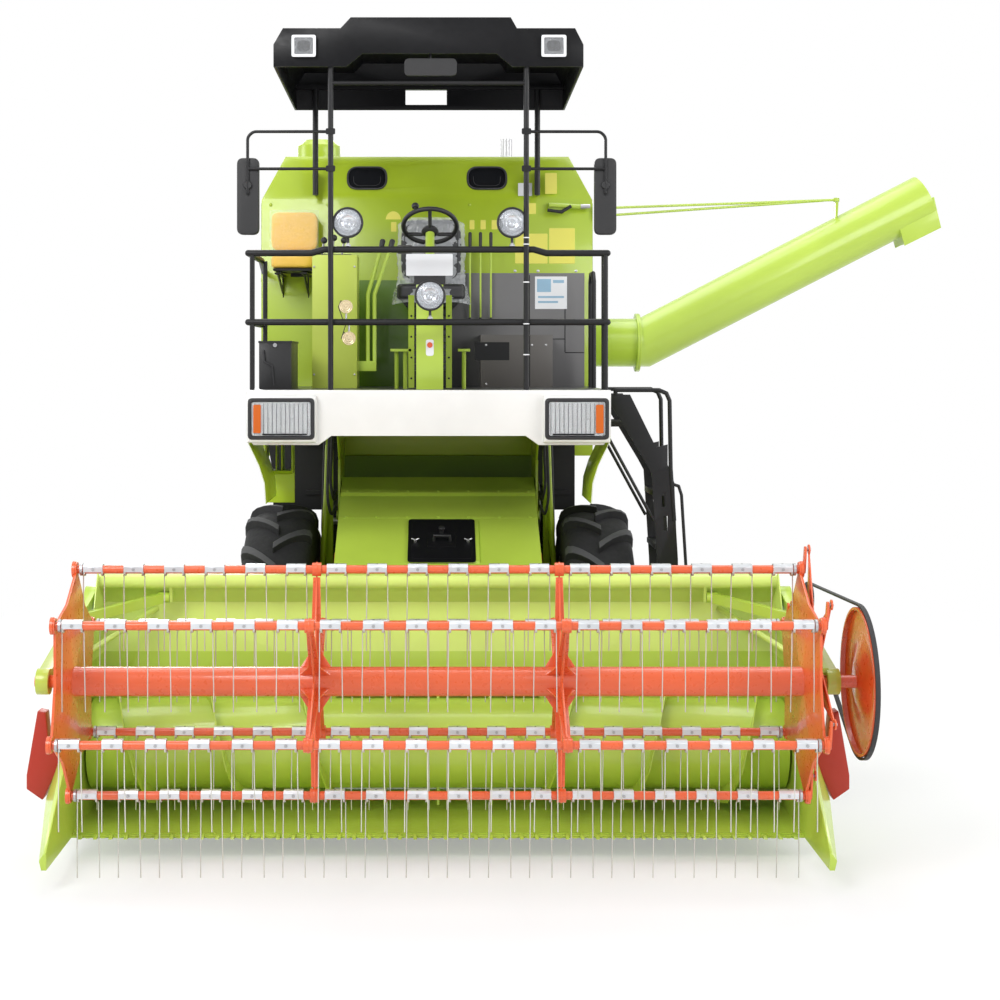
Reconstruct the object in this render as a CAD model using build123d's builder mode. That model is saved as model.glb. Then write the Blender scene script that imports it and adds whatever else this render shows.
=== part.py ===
from build123d import *
import os
from math import asin, atan2, cos, degrees, hypot, radians, sin, sqrt, tan

os.makedirs("parts", exist_ok=True)

# Combine harvester with a 12 ft header. Lengths are in mm.
# Machine frame: X to the machine's left, Y to its rear from the front axle, Z up from the ground.

# Wheels and axles
WHEELBASE = 3300
FRONT_TYRE_R = 815
FRONT_TYRE_W = 414
FRONT_TRACK_X = 944
FRONT_RIM_R = 390
REAR_TYRE_R = 430
REAR_TYRE_W = 210
REAR_TRACK_X = 820
REAR_RIM_R = 205
LUG_H = 38
LUG_PAIRS = 16
LUG_W = 52
LUG_SLANT = 40
TYRE_SIDES = 32
GROOVE_W = 24
GROOVE_H = 16
RIM_T = 10
KINGPIN_X = 640
KINGPIN_R = 22
STUB_R = 60
SPINDLE_R = 30
PIVOT_R = 30
STEER_ARM = 190
TIE_ROD_R = 16

# Clearances
SEAT = 0.3
PIN_GAP = 0.3
SIDE_GAP = 6

# Body
BODY_X = 600
BODY_FRONT_Y = 420
BODY_REAR_Y = 3350
BODY_BOTTOM_Z = 970
BODY_TOP_Z = 1900
SHEET = 6
CHEEK_T = 14
RAIL_X = 500
RAIL_W = 60
RAIL_H = 100
FRAME_REAR_Y = 3560
HOOD_REAR_Y = 4880

# Grain tank
TANK_RIGHT_X = -1117
TANK_LEFT_X = 977
TANK_FRONT_Y = 450
TANK_REAR_Y = 2150
TANK_SHOULDER_Z = 3520
TANK_TOP_Z = 3810
TANK_LEAN = 140

# Engine bay
DECK_REAR_Y = 3300
DECK_T = 15
DECK_X = 960
ENGINE_HOOD_X = 560
ENGINE_HOOD_FRONT_Y = 2430
ENGINE_HOOD_TOP_Z = 2900

# Operator's platform
FLOOR_RIGHT_X = -1057
FLOOR_LEFT_X = 953
FLOOR_FRONT_Y = -1030
FLOOR_Z = 2340
FLOOR_T = 40
FASCIA_LOW_Z = 2037
RAIL_R = 18
RAIL_TOP_Z = 3117
RAIL_MID_Z = 2715
POST_R = 15
CANOPY_FRONT_Y = -1045
CANOPY_REAR_Y = 430
CANOPY_LOW_Z = 4118
CANOPY_TOP_Z = 4390

# Unloader
UNLOADER_R = 157
UNLOADER_Y = 820
UNLOADER_Z = 2620
UNLOADER_FLANGE_X = 1300
UNLOADER_RISE = 27.2
UNLOADER_END_X = 3180
FLANGE_T = 12
FLANGE_R = 190

# Feeder house and header
FEEDER_X = 585
FEEDER_PIVOT_Y = 50
FEEDER_PIVOT_Z = 1560
HEADER_X = 1840
HEADER_BACK_Y = -1009
HEADER_FLOOR_Z = 119
AUGER_Y = -1360
AUGER_Z = 470
AUGER_DRUM_R = 235
AUGER_FLIGHT_R = 330
AUGER_GAP = 15
GUARD_PITCH = 76.2
GUARD_COUNT = 48
GUARD_TIP_Y = -1950
GUARD_ROOT_Y = -1884
BEAM_R = 40
BEAM_Y = -1130
BEAM_Z = 1300

# Reel
REEL_Y = -2300
REEL_Z = 963
BAT_CIRCLE_R = 534
BAT_COUNT = 6
BAT_PHASE = 38
BAT_HALF = 1757
BAT_R = 21
REEL_TUBE_R = 70
REEL_SHAFT_R = 30
PLATE_T = 12
SPIDER_X = 586
TINE_LENGTH = 400
TINE_R = 4
CLAMP_PITCH = 196
CLAMP_W = 94
CLAMP_COUNT = 18
GUIDE_DY = -30
GUIDE_DZ = 100
GUIDE_DISC_R = 138
CRANK_PIN_R = 8
ARM_PIVOT_Y = -1120
ARM_PIVOT_Z = 1210
ARM_X = 1890
ARM_W = 60
ARM_H = 90
PULLEY_X = 2022
PULLEY_R = 370
DRIVE_PULLEY_R = 85
BELT_W = 30

# Header lift cylinders: frame pin, header pin and joint travel
LIFT_X = 640
LIFT_FRAME_PIN = (80, 560)
LIFT_HEADER_PIN = (-650, 500)
REEL_LIFT_BASE_PIN = (-1250, 760)
REEL_LIFT_ARM_PIN = (-1750, 985)
ARM_PIVOT_R = 22
REEL_PIN_R = 12

# The header ear and the unloader spout give the overall width, reel and straw hood the length.
EAR_X = 2070
SPOUT_X = 3257
REEL_FRONT_Y = REEL_Y - BAT_CIRCLE_R - BAT_R - 40
ORIGIN_X = (SPOUT_X - EAR_X) / 2
ORIGIN_Y = (REEL_FRONT_Y + HOOD_REAR_Y) / 2
TO_ORIGIN = Location((-ORIGIN_X, -ORIGIN_Y, 0))

ROOT = (Align.CENTER, Align.CENTER, Align.MIN)


def save(piece, name):
    """Shift a finished piece from the machine frame to the row origin, label it and write it."""
    shifted = piece.part.moved(TO_ORIGIN)
    shifted.label = name
    export_step(shifted, f"parts/{name}.step")


def side_profile(points, x_from, x_to, mode=Mode.ADD):
    """Straight-sided outline of (y, z) points, seen from the side, from x_from to x_to."""
    with BuildSketch(Plane.YZ.offset(x_from)) as outline:
        with BuildLine():
            Polyline(*points, close=True)
        make_face()
    extrude(outline.sketch, amount=x_to - x_from, mode=mode)


def front_profile(points, y_back, y_front, mode=Mode.ADD):
    """Straight-sided outline of (x, z) points, seen from the front, from y_back to y_front."""
    with BuildSketch(Plane.XZ.offset(-y_back)) as outline:
        with BuildLine():
            Polyline(*points, close=True)
        make_face()
    extrude(outline.sketch, amount=y_back - y_front, mode=mode)


def block(x_span, y_span, z_span, mode=Mode.ADD):
    """Box between two limits on each axis."""
    centre = tuple((low + high) / 2 for low, high in (x_span, y_span, z_span))
    size = [high - low for low, high in (x_span, y_span, z_span)]
    with Locations(centre):
        Box(*size, mode=mode)


def bar(start, end, radius, mode=Mode.ADD):
    """Round bar from start to end."""
    axis = Vector(*end) - Vector(*start)
    with Locations(Plane(origin=start, z_dir=axis)):
        Cylinder(radius, axis.length, align=ROOT, mode=mode)


def bent_bar(points, radius):
    """Round bar through points, with a ball at each bend."""
    for start, end in zip(points, points[1:]):
        bar(start, end, radius)
    for corner in points[1:-1]:
        with Locations(corner):
            Sphere(radius)


def cross_bar(x_from, x_to, y, z, radius, mode=Mode.ADD):
    """Round bar along X."""
    bar((x_from, y, z), (x_to, y, z), radius, mode)


def ring_points(y, z, radius, angles):
    """(y, z) points on a circle, 0 degrees forward and 90 up."""
    return [(y - radius * cos(radians(a)), z + radius * sin(radians(a))) for a in angles]


BAT_ANGLES = [BAT_PHASE + n * 360 / BAT_COUNT for n in range(BAT_COUNT)]
BAT_PLACES = ring_points(REEL_Y, REEL_Z, BAT_CIRCLE_R, BAT_ANGLES)


# Main frame: two rails on the axles, cross members, rear axle pivot and tow hitch
CROSS_YS = (75, 1200, 2750, 3160, 3500)
PIVOT_Z = 620
REAR_BEAM_D = 96
HANGER_T = 20
HITCH_Z = 640
HITCH_HOLE_R = 16
HITCH_PLATE_T = 20
HITCH_GAP = 60
RAIL_FRONT_Y = 20
HITCH_Y = FRAME_REAR_Y + 90

with BuildPart() as main_frame:
    for side in (-1, 1):
        block(
            (side * RAIL_X - RAIL_W / 2, side * RAIL_X + RAIL_W / 2),
            (RAIL_FRONT_Y, FRAME_REAR_Y),
            (BODY_BOTTOM_Z - RAIL_H, BODY_BOTTOM_Z),
        )
    for cross_y in CROSS_YS:
        block(
            (-RAIL_X, RAIL_X),
            (cross_y - 40, cross_y + 40),
            (BODY_BOTTOM_Z - RAIL_H + 10, BODY_BOTTOM_Z - 10),
        )
    hanger_ys = (WHEELBASE - REAR_BEAM_D / 2 - SIDE_GAP - HANGER_T, WHEELBASE + REAR_BEAM_D / 2 + SIDE_GAP)
    for hanger_y in hanger_ys:
        front_profile(
            [(-260, BODY_BOTTOM_Z - 20), (-70, PIVOT_Z - 60), (70, PIVOT_Z - 60), (260, BODY_BOTTOM_Z - 20)],
            hanger_y + HANGER_T,
            hanger_y,
        )
    block((-260, 260), (hanger_ys[0], hanger_ys[1] + HANGER_T), (BODY_BOTTOM_Z - 20, BODY_BOTTOM_Z))
    block((-60, 60), (hanger_ys[1], FRAME_REAR_Y), (BODY_BOTTOM_Z - 20, BODY_BOTTOM_Z))
    bar((0, hanger_ys[0], PIVOT_Z), (0, hanger_ys[1] + HANGER_T, PIVOT_Z), PIVOT_R)
    block((-120, 120), (FRAME_REAR_Y - 60, FRAME_REAR_Y), (HITCH_Z - 60, BODY_BOTTOM_Z - 20))
    for hitch_z in (HITCH_Z + HITCH_GAP / 2, HITCH_Z - HITCH_GAP / 2 - HITCH_PLATE_T):
        block((-60, 60), (FRAME_REAR_Y, HITCH_Y + 45), (hitch_z, hitch_z + HITCH_PLATE_T))
    bar((0, HITCH_Y, HITCH_Z - 60), (0, HITCH_Y, HITCH_Z + 60), HITCH_HOLE_R, Mode.SUBTRACT)
save(main_frame, "main_frame")


# Front axle: beam under the frame, final drives inside the wheels, stub shafts, cylinder brackets
AXLE_Y = 60
AXLE_HALF = 70
FINAL_DRIVE_R = 165
FINAL_DRIVE_X = (690, 800)
FRONT_DISC_X = 900
LIFT_EYE_W = 44
LIFT_EYE_R = 30
LIFT_PIN_R = 15
BRACKET_T = 12
AXLE_TOP_Z = BODY_BOTTOM_Z - RAIL_H

with BuildPart() as front_axle:
    block(
        (-FINAL_DRIVE_X[0], FINAL_DRIVE_X[0]),
        (AXLE_Y - AXLE_HALF, AXLE_Y + AXLE_HALF),
        (AXLE_TOP_Z - 2 * AXLE_HALF, AXLE_TOP_Z),
    )
    for side in (-1, 1):
        cross_bar(side * FINAL_DRIVE_X[0], side * FINAL_DRIVE_X[1], 0, FRONT_TYRE_R, FINAL_DRIVE_R)
        cross_bar(side * FINAL_DRIVE_X[1], side * (FRONT_DISC_X + 60), 0, FRONT_TYRE_R, STUB_R)
        for bracket_x in (LIFT_X - LIFT_EYE_W / 2 - 3 - BRACKET_T, LIFT_X + LIFT_EYE_W / 2 + 3):
            low_x, high_x = sorted((side * bracket_x, side * (bracket_x + BRACKET_T)))
            pin_y, pin_z = LIFT_FRAME_PIN
            side_profile(
                [
                    (pin_y - 40, pin_z - 35),
                    (pin_y + 40, pin_z - 35),
                    (pin_y + 50, AXLE_TOP_Z - 2 * AXLE_HALF),
                    (pin_y - 70, AXLE_TOP_Z - 2 * AXLE_HALF),
                ],
                low_x,
                high_x,
            )
        cross_bar(
            side * (LIFT_X - LIFT_EYE_W / 2 - 3 - BRACKET_T),
            side * (LIFT_X + LIFT_EYE_W / 2 + 3 + BRACKET_T),
            LIFT_FRAME_PIN[0],
            LIFT_FRAME_PIN[1],
            LIFT_PIN_R,
        )
save(front_axle, "front_axle")


# Rear axle: beam that is deep in the middle, with a boss for each kingpin
BOSS_R = 48
BOSS_LOW_Z = 490
BOSS_TOP_Z = 610

with BuildPart() as rear_axle:
    front_profile(
        [
            (-KINGPIN_X, BOSS_LOW_Z + 10),
            (-170, PIVOT_Z - 65),
            (170, PIVOT_Z - 65),
            (KINGPIN_X, BOSS_LOW_Z + 10),
            (KINGPIN_X, BOSS_TOP_Z - 10),
            (170, PIVOT_Z + 65),
            (-170, PIVOT_Z + 65),
            (-KINGPIN_X, BOSS_TOP_Z - 10),
        ],
        WHEELBASE + REAR_BEAM_D / 2,
        WHEELBASE - REAR_BEAM_D / 2,
    )
    for side in (-1, 1):
        bar((side * KINGPIN_X, WHEELBASE, BOSS_LOW_Z), (side * KINGPIN_X, WHEELBASE, BOSS_TOP_Z), BOSS_R)
    for side in (-1, 1):
        bar(
            (side * KINGPIN_X, WHEELBASE, BOSS_LOW_Z),
            (side * KINGPIN_X, WHEELBASE, BOSS_TOP_Z),
            KINGPIN_R + PIN_GAP,
            Mode.SUBTRACT,
        )
    bar(
        (0, WHEELBASE - REAR_BEAM_D / 2, PIVOT_Z),
        (0, WHEELBASE + REAR_BEAM_D / 2, PIVOT_Z),
        PIVOT_R + PIN_GAP,
        Mode.SUBTRACT,
    )
save(rear_axle, "rear_axle")


# Knuckles: fork round the boss, kingpin, spindle and steering arm
FORK_T = 26
FORK_LOW_Z = BOSS_LOW_Z - 2 - FORK_T
FORK_TOP_Z = BOSS_TOP_Z + 2
WEB_X = 54
REAR_DISC_X = REAR_TRACK_X + 20
TIE_ROD_Z = FORK_LOW_Z - 30
TIE_EYE_HALF = TIE_ROD_R + 3


def knuckle(side):
    pin_x = side * KINGPIN_X
    web_in, web_out = side * (KINGPIN_X + WEB_X), side * (KINGPIN_X + WEB_X + 18)
    x_low, x_high = sorted((pin_x - side * 34, web_out))
    web_low, web_high = sorted((web_in, web_out))
    with BuildPart() as piece:
        block((web_low, web_high), (WHEELBASE - 45, WHEELBASE + 45), (FORK_LOW_Z, FORK_TOP_Z + FORK_T))
        for fork_z in (FORK_LOW_Z, FORK_TOP_Z):
            block((x_low, x_high), (WHEELBASE - 34, WHEELBASE + 34), (fork_z, fork_z + FORK_T))
        bar((pin_x, WHEELBASE, FORK_LOW_Z), (pin_x, WHEELBASE, FORK_TOP_Z + FORK_T + 8), KINGPIN_R)
        cross_bar(web_in, side * (REAR_DISC_X + 45), WHEELBASE, REAR_TYRE_R, SPINDLE_R)
        block((web_low, web_high), (WHEELBASE - 40, WHEELBASE + 40), (REAR_TYRE_R - 40, FORK_LOW_Z + 5))
        arm_low, arm_high = sorted((pin_x - side * 30, pin_x + side * 30))
        block((arm_low, arm_high), (WHEELBASE, WHEELBASE + STEER_ARM + 28), (FORK_LOW_Z, FORK_LOW_Z + 20))
        bar(
            (pin_x, WHEELBASE + STEER_ARM, TIE_ROD_Z - 22),
            (pin_x, WHEELBASE + STEER_ARM, FORK_LOW_Z + 10),
            10,
        )
    return piece


save(knuckle(-1), "right_knuckle")
save(knuckle(1), "left_knuckle")


# Tie rod below the steering arms, with an eye on each arm's pin
with BuildPart() as tie_rod:
    tie_y = WHEELBASE + STEER_ARM
    cross_bar(-KINGPIN_X + 20, KINGPIN_X - 20, tie_y, TIE_ROD_Z, TIE_ROD_R)
    for side in (-1, 1):
        bar(
            (side * KINGPIN_X, tie_y, TIE_ROD_Z - TIE_EYE_HALF),
            (side * KINGPIN_X, tie_y, TIE_ROD_Z + TIE_EYE_HALF),
            26,
        )
    for side in (-1, 1):
        bar(
            (side * KINGPIN_X, tie_y, TIE_ROD_Z - TIE_EYE_HALF),
            (side * KINGPIN_X, tie_y, TIE_ROD_Z + TIE_EYE_HALF),
            10 + PIN_GAP,
            Mode.SUBTRACT,
        )
save(tie_rod, "tie_rod")


# Tyres: carcass with flat-sided rings, driving tyres with slanted lugs, steered tyres with a groove
def ring_loft(centre, sections):
    """Many-sided body about the wheel axis through (x, radius) sections."""
    rings = []
    for ring_x, ring_r in sections:
        with BuildSketch(Plane.YZ.offset(centre[0] + ring_x)) as ring:
            with Locations(centre[1:]):
                RegularPolygon(ring_r, TYRE_SIDES)
        rings.append(ring.sketch)
    loft(rings, ruled=True)


def carcass(centre, width, rim_radius, shoulder):
    """(x, radius) sections of one side wall, from the bead out to the shoulder."""
    belly = rim_radius + 0.55 * (shoulder - rim_radius)
    return [(0.36 * width, rim_radius), (width / 2, belly), (0.44 * width, shoulder)]


def tyre(centre, radius, width, rim_radius, lug_pairs):
    shoulder = radius - LUG_H if lug_pairs else radius - GROOVE_H / 2
    wall = carcass(centre, width, rim_radius, shoulder)
    right_wall = [(-x, r) for x, r in wall]
    crown = []
    if not lug_pairs:
        half_low, half_high = GROOVE_W / 2 - 2, GROOVE_W / 2
        low = radius - GROOVE_H
        crown = [(-half_high, radius), (-half_low, low), (half_low, low), (half_high, radius)]
    with BuildPart() as piece:
        ring_loft(centre, right_wall + crown + wall[::-1])
        for n in range(2 * lug_pairs):
            lug(centre, radius, wall, 1 if n % 2 else -1, 180 * n / lug_pairs - 90)
        cross_bar(centre[0] - width, centre[0] + width, centre[1], centre[2], rim_radius, Mode.SUBTRACT)
    return piece


def lug(centre, radius, wall, side, turn):
    """Slanted bar from the middle of the tread over the shoulder, its inner end ahead."""
    belly, shoulder_x = wall[1][1], wall[2][0]
    reach = shoulder_x + 10
    lean = tan(radians(LUG_SLANT))
    outward = Vector(0, cos(radians(turn)), sin(radians(turn)))
    foot = belly + 60
    top = sqrt(radius**2 - (reach / 2 * lean + LUG_W / 2) ** 2)
    base = Plane(origin=Vector(*centre) + outward * foot, x_dir=(side, 0, 0), z_dir=outward)
    corners = [(-10, -LUG_W / 2), (reach, -LUG_W / 2), (reach, LUG_W / 2), (-10, LUG_W / 2)]
    with BuildSketch(base) as outline:
        with BuildLine():
            Polyline(*[(x, side * ((x - reach / 2) * lean + y)) for x, y in corners], close=True)
        make_face()
    extrude(outline.sketch, amount=top - foot)


# Rims: turned about the wheel axis
def rim(centre, width, rim_radius, disc_x, side, bore_r, flange_t):
    """Rim channel, dished disc and hub whose bore runs on the stub shaft."""
    seat = rim_radius - SEAT
    inside = seat - flange_t
    edge = 0.36 * width - 2
    disc = disc_x - abs(centre[0])
    outline = [
        (-edge, seat),
        (edge, seat),
        (edge, inside),
        (disc + 14, inside),
        (disc + 40, bore_r + 55),
        (disc + 45, bore_r + 55),
        (disc + 45, bore_r),
        (disc - 40, bore_r),
        (disc - 40, bore_r + 40),
        (disc, bore_r + 70),
        (disc, inside),
        (-edge, inside),
    ]
    with BuildPart() as piece:
        with BuildSketch(Plane(origin=centre, x_dir=(side, 0, 0), z_dir=(0, 0, side))):
            with BuildLine():
                Polyline(*outline, close=True)
            make_face()
        revolve(axis=Axis(centre, (1, 0, 0)))
    return piece


WHEELS = [
    # name, y, radius, width, rim radius, track, disc, bore, pairs of lugs
    ("front", 0, FRONT_TYRE_R, FRONT_TYRE_W, FRONT_RIM_R, FRONT_TRACK_X, FRONT_DISC_X, STUB_R, LUG_PAIRS),
    ("rear", WHEELBASE, REAR_TYRE_R, REAR_TYRE_W, REAR_RIM_R, REAR_TRACK_X, REAR_DISC_X, SPINDLE_R, 0),
]
for name, wheel_y, radius, width, rim_radius, track, disc_x, bore_r, lug_pairs in WHEELS:
    for side, side_name in ((-1, "right"), (1, "left")):
        centre = (side * track, wheel_y, radius)
        save(tyre(centre, radius, width, rim_radius, lug_pairs), f"{name}_{side_name}_tyre")
        save(rim(centre, width, rim_radius, disc_x, side, bore_r + PIN_GAP, RIM_T), f"{name}_{side_name}_rim")


# Separator body: closed housing with the throat cheeks that hold the feeder pivot
CHEEK_X = FEEDER_X + SIDE_GAP
TROUGHS = [(1600, 120), (2280, 110)]

with BuildPart() as separator_body:
    side_profile(
        [
            (BODY_FRONT_Y, 1060),
            (BODY_FRONT_Y, BODY_TOP_Z),
            (BODY_REAR_Y, BODY_TOP_Z),
            (BODY_REAR_Y, BODY_BOTTOM_Z),
            (BODY_FRONT_Y + 160, BODY_BOTTOM_Z),
        ],
        -BODY_X,
        BODY_X,
    )
    for side in (-1, 1):
        cheek_low, cheek_high = sorted((side * CHEEK_X, side * (CHEEK_X + CHEEK_T)))
        side_profile(
            [
                (-60, 1380),
                (-60, BODY_TOP_Z),
                (BODY_FRONT_Y + 60, BODY_TOP_Z),
                (BODY_FRONT_Y + 60, BODY_BOTTOM_Z + 30),
                (250, BODY_BOTTOM_Z + 30),
            ],
            cheek_low,
            cheek_high,
        )
    for trough_y, trough_r in TROUGHS:
        cross_bar(-RAIL_X + RAIL_W / 2 + 5, RAIL_X - RAIL_W / 2 - 5, trough_y, BODY_BOTTOM_Z, trough_r)
    cross_bar(-BODY_X - 20, BODY_X + 20, FEEDER_PIVOT_Y, FEEDER_PIVOT_Z, PIVOT_R + PIN_GAP, Mode.SUBTRACT)
save(separator_body, "separator_body")


# Straw hood: bent sheet open below and behind
HOOD_SLOPE_Y = 4100
HOOD_TAIL_TOP_Z = 1560
HOOD_TAIL_LOW_Z = 1250
HOOD_LOW_Z = 1120

with BuildPart() as straw_hood:
    side_profile(
        [
            (BODY_REAR_Y, BODY_TOP_Z),
            (HOOD_SLOPE_Y, BODY_TOP_Z),
            (HOOD_REAR_Y, HOOD_TAIL_TOP_Z),
            (HOOD_REAR_Y, HOOD_TAIL_LOW_Z),
            (HOOD_REAR_Y - 380, HOOD_LOW_Z),
            (BODY_REAR_Y, HOOD_LOW_Z),
        ],
        -BODY_X,
        BODY_X,
    )
    side_profile(
        [
            (BODY_REAR_Y, BODY_TOP_Z - SHEET),
            (HOOD_SLOPE_Y - 1, BODY_TOP_Z - SHEET),
            (HOOD_REAR_Y - SHEET, HOOD_TAIL_TOP_Z - SHEET),
            (HOOD_REAR_Y - SHEET, HOOD_LOW_Z - 10),
            (BODY_REAR_Y, HOOD_LOW_Z - 10),
        ],
        -BODY_X + SHEET,
        BODY_X - SHEET,
        Mode.SUBTRACT,
    )
save(straw_hood, "straw_hood")


# Straw walkers on their crankshaft, and the sieve end below them
WALKER_COUNT = 4
WALKER_W = 262
WALKER_PITCH = 290
WALKER_LOW_Z = 1330
STEP_LENGTH = 210

with BuildPart() as straw_walkers:
    for n in range(WALKER_COUNT):
        walker_x = (n - (WALKER_COUNT - 1) / 2) * WALKER_PITCH
        rise = 40 * (n % 2)
        teeth = []
        for step in range(4):
            step_y = BODY_REAR_Y + 8 + step * STEP_LENGTH
            teeth.append((step_y, WALKER_LOW_Z + rise + 100))
            teeth.append((step_y + STEP_LENGTH - 5, WALKER_LOW_Z + rise + 170))
        side_profile(
            [(BODY_REAR_Y + 8, WALKER_LOW_Z + rise)]
            + teeth
            + [(BODY_REAR_Y + 8 + 4 * STEP_LENGTH - 5, WALKER_LOW_Z + rise)],
            walker_x - WALKER_W / 2,
            walker_x + WALKER_W / 2,
        )
    cross_bar(-BODY_X + SHEET, BODY_X - SHEET, BODY_REAR_Y + 170, WALKER_LOW_Z + 60, 20)
    for sieve_z in (1000, 1080):
        for slat in range(6):
            slat_y = BODY_REAR_Y + 60 * slat
            side_profile(
                [
                    (slat_y, sieve_z),
                    (slat_y + 62, sieve_z + 26),
                    (slat_y + 62, sieve_z + 32),
                    (slat_y, sieve_z + 6),
                ],
                -430,
                430,
            )
    for side in (-1, 1):
        sieve_low, sieve_high = sorted((side * 430, side * 440))
        block((sieve_low, sieve_high), (BODY_REAR_Y, BODY_REAR_Y + 380), (985, 1118))
save(straw_walkers, "straw_walkers")


# Grain tank: sheet bin with a hopper floor, a leaning top and two oval windows in front
def tank_section(margin, lean, z):
    """Corners of a level tank section, lean inside the walls of the lower part."""
    inset = margin + lean
    with BuildSketch(Plane.XY.offset(z)) as section:
        with Locations(((TANK_RIGHT_X + TANK_LEFT_X) / 2, (TANK_FRONT_Y + TANK_REAR_Y) / 2)):
            Rectangle(TANK_LEFT_X - TANK_RIGHT_X - 2 * inset, TANK_REAR_Y - TANK_FRONT_Y - 2 * inset)
    return section.sketch


HOPPER_LOW_Z = 2060
HOPPER_TOP_Z = 2560
WINDOW_XS = (-452, 312)
WINDOW_Z = 3665
WINDOW_L = 250
WINDOW_H = 150

with BuildPart() as grain_tank:
    extrude(tank_section(0, 0, BODY_TOP_Z), amount=TANK_SHOULDER_Z - BODY_TOP_Z)
    loft([tank_section(0, 0, TANK_SHOULDER_Z), tank_section(0, TANK_LEAN, TANK_TOP_Z)], ruled=True)
    extrude(
        tank_section(SHEET, 0, HOPPER_TOP_Z), amount=TANK_SHOULDER_Z - HOPPER_TOP_Z, mode=Mode.SUBTRACT
    )
    loft(
        [tank_section(SHEET, 0, TANK_SHOULDER_Z), tank_section(SHEET, TANK_LEAN, TANK_TOP_Z + 0.01)],
        ruled=True,
        mode=Mode.SUBTRACT,
    )
    loft(
        [tank_section(700, 0, HOPPER_LOW_Z), tank_section(SHEET, 0, HOPPER_TOP_Z)],
        ruled=True,
        mode=Mode.SUBTRACT,
    )
    for window_x in WINDOW_XS:
        with BuildSketch(Plane.XZ.offset(-TANK_FRONT_Y + 100)) as window:
            with Locations((window_x, WINDOW_Z)):
                SlotOverall(WINDOW_L, WINDOW_H)
        extrude(window.sketch, amount=-400, mode=Mode.SUBTRACT)
save(grain_tank, "grain_tank")


# Engine hood on its deck behind the tank, open at the screen side
with BuildPart() as engine_hood:
    block((-DECK_X, DECK_X), (TANK_REAR_Y, DECK_REAR_Y), (BODY_TOP_Z, BODY_TOP_Z + DECK_T))
    side_profile(
        [
            (ENGINE_HOOD_FRONT_Y, BODY_TOP_Z + DECK_T),
            (ENGINE_HOOD_FRONT_Y, ENGINE_HOOD_TOP_Z),
            (DECK_REAR_Y - 250, ENGINE_HOOD_TOP_Z),
            (DECK_REAR_Y, ENGINE_HOOD_TOP_Z - 300),
            (DECK_REAR_Y, BODY_TOP_Z + DECK_T),
        ],
        -ENGINE_HOOD_X,
        ENGINE_HOOD_X,
    )
    side_profile(
        [
            (ENGINE_HOOD_FRONT_Y + SHEET, BODY_TOP_Z + DECK_T),
            (ENGINE_HOOD_FRONT_Y + SHEET, ENGINE_HOOD_TOP_Z - SHEET),
            (DECK_REAR_Y - 255, ENGINE_HOOD_TOP_Z - SHEET),
            (DECK_REAR_Y - SHEET, ENGINE_HOOD_TOP_Z - 305),
            (DECK_REAR_Y - SHEET, BODY_TOP_Z + DECK_T),
        ],
        -ENGINE_HOOD_X + SHEET,
        ENGINE_HOOD_X - SHEET,
        Mode.SUBTRACT,
    )
    for slot_z in (2150, 2250, 2350, 2450):
        block((ENGINE_HOOD_X - 20, ENGINE_HOOD_X + 5), (2560, 3160), (slot_z, slot_z + 45), Mode.SUBTRACT)
save(engine_hood, "engine_hood")

with BuildPart() as radiator_screen:
    block((-ENGINE_HOOD_X - 60, -ENGINE_HOOD_X), (2500, 3200), (2000, 2700))
    cross_bar(-ENGINE_HOOD_X - 90, -ENGINE_HOOD_X - 60, 2850, 2350, 320)
save(radiator_screen, "radiator_screen")

with BuildPart() as engine:
    block((-420, 420), (2520, 3180), (BODY_TOP_Z + DECK_T, 2720))
save(engine, "engine")


# Exhaust with its muffler, and the air intake with its pre-cleaner
EXHAUST = (510, 2520)
EXHAUST_TOP_Z = 4160
with BuildPart() as exhaust:
    bar((*EXHAUST, ENGINE_HOOD_TOP_Z), (*EXHAUST, EXHAUST_TOP_Z), 44)
    bar((*EXHAUST, ENGINE_HOOD_TOP_Z + 80), (*EXHAUST, ENGINE_HOOD_TOP_Z + 700), 95)
    bar((*EXHAUST, EXHAUST_TOP_Z - 200), (*EXHAUST, EXHAUST_TOP_Z), 38, Mode.SUBTRACT)
save(exhaust, "exhaust")

INTAKE = (-894, 2560)
with BuildPart() as air_cleaner:
    bent_bar(
        [(-ENGINE_HOOD_X, INTAKE[1], 2800), (INTAKE[0], INTAKE[1], 2800), (INTAKE[0], INTAKE[1], 4000)], 55
    )
    with BuildSketch(Plane(origin=(*INTAKE, 0), x_dir=(1, 0, 0), z_dir=(0, -1, 0))):
        with BuildLine():
            Polyline((0, 3940), (120, 3960), (160, 4000), (160, 4110), (110, 4153), (0, 4153), close=True)
        make_face()
    revolve(axis=Axis((*INTAKE, 0), (0, 0, 1)))
save(air_cleaner, "air_cleaner")


# Fuel tank on the deck beside the hood
with BuildPart() as fuel_tank:
    block((ENGINE_HOOD_X + 10, DECK_X - 20), (2480, 3180), (BODY_TOP_Z + DECK_T, 2450))
    fillet(fuel_tank.edges().filter_by(Axis.Y), 50)
    bar((770, 3000, 2450), (770, 3000, 2500), 45)
save(fuel_tank, "fuel_tank")


# Grain elevator: cross conveyor from the trough, leg outside the deck, head into the tank's rear wall
ELEVATOR_X = (-DECK_X - 160, -DECK_X - SIDE_GAP)
ELEVATOR_Y = (TANK_REAR_Y + 20, TANK_REAR_Y + 240)
ELEVATOR_LOW_Z = 850
ELEVATOR_HEAD_Z = 3450

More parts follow.
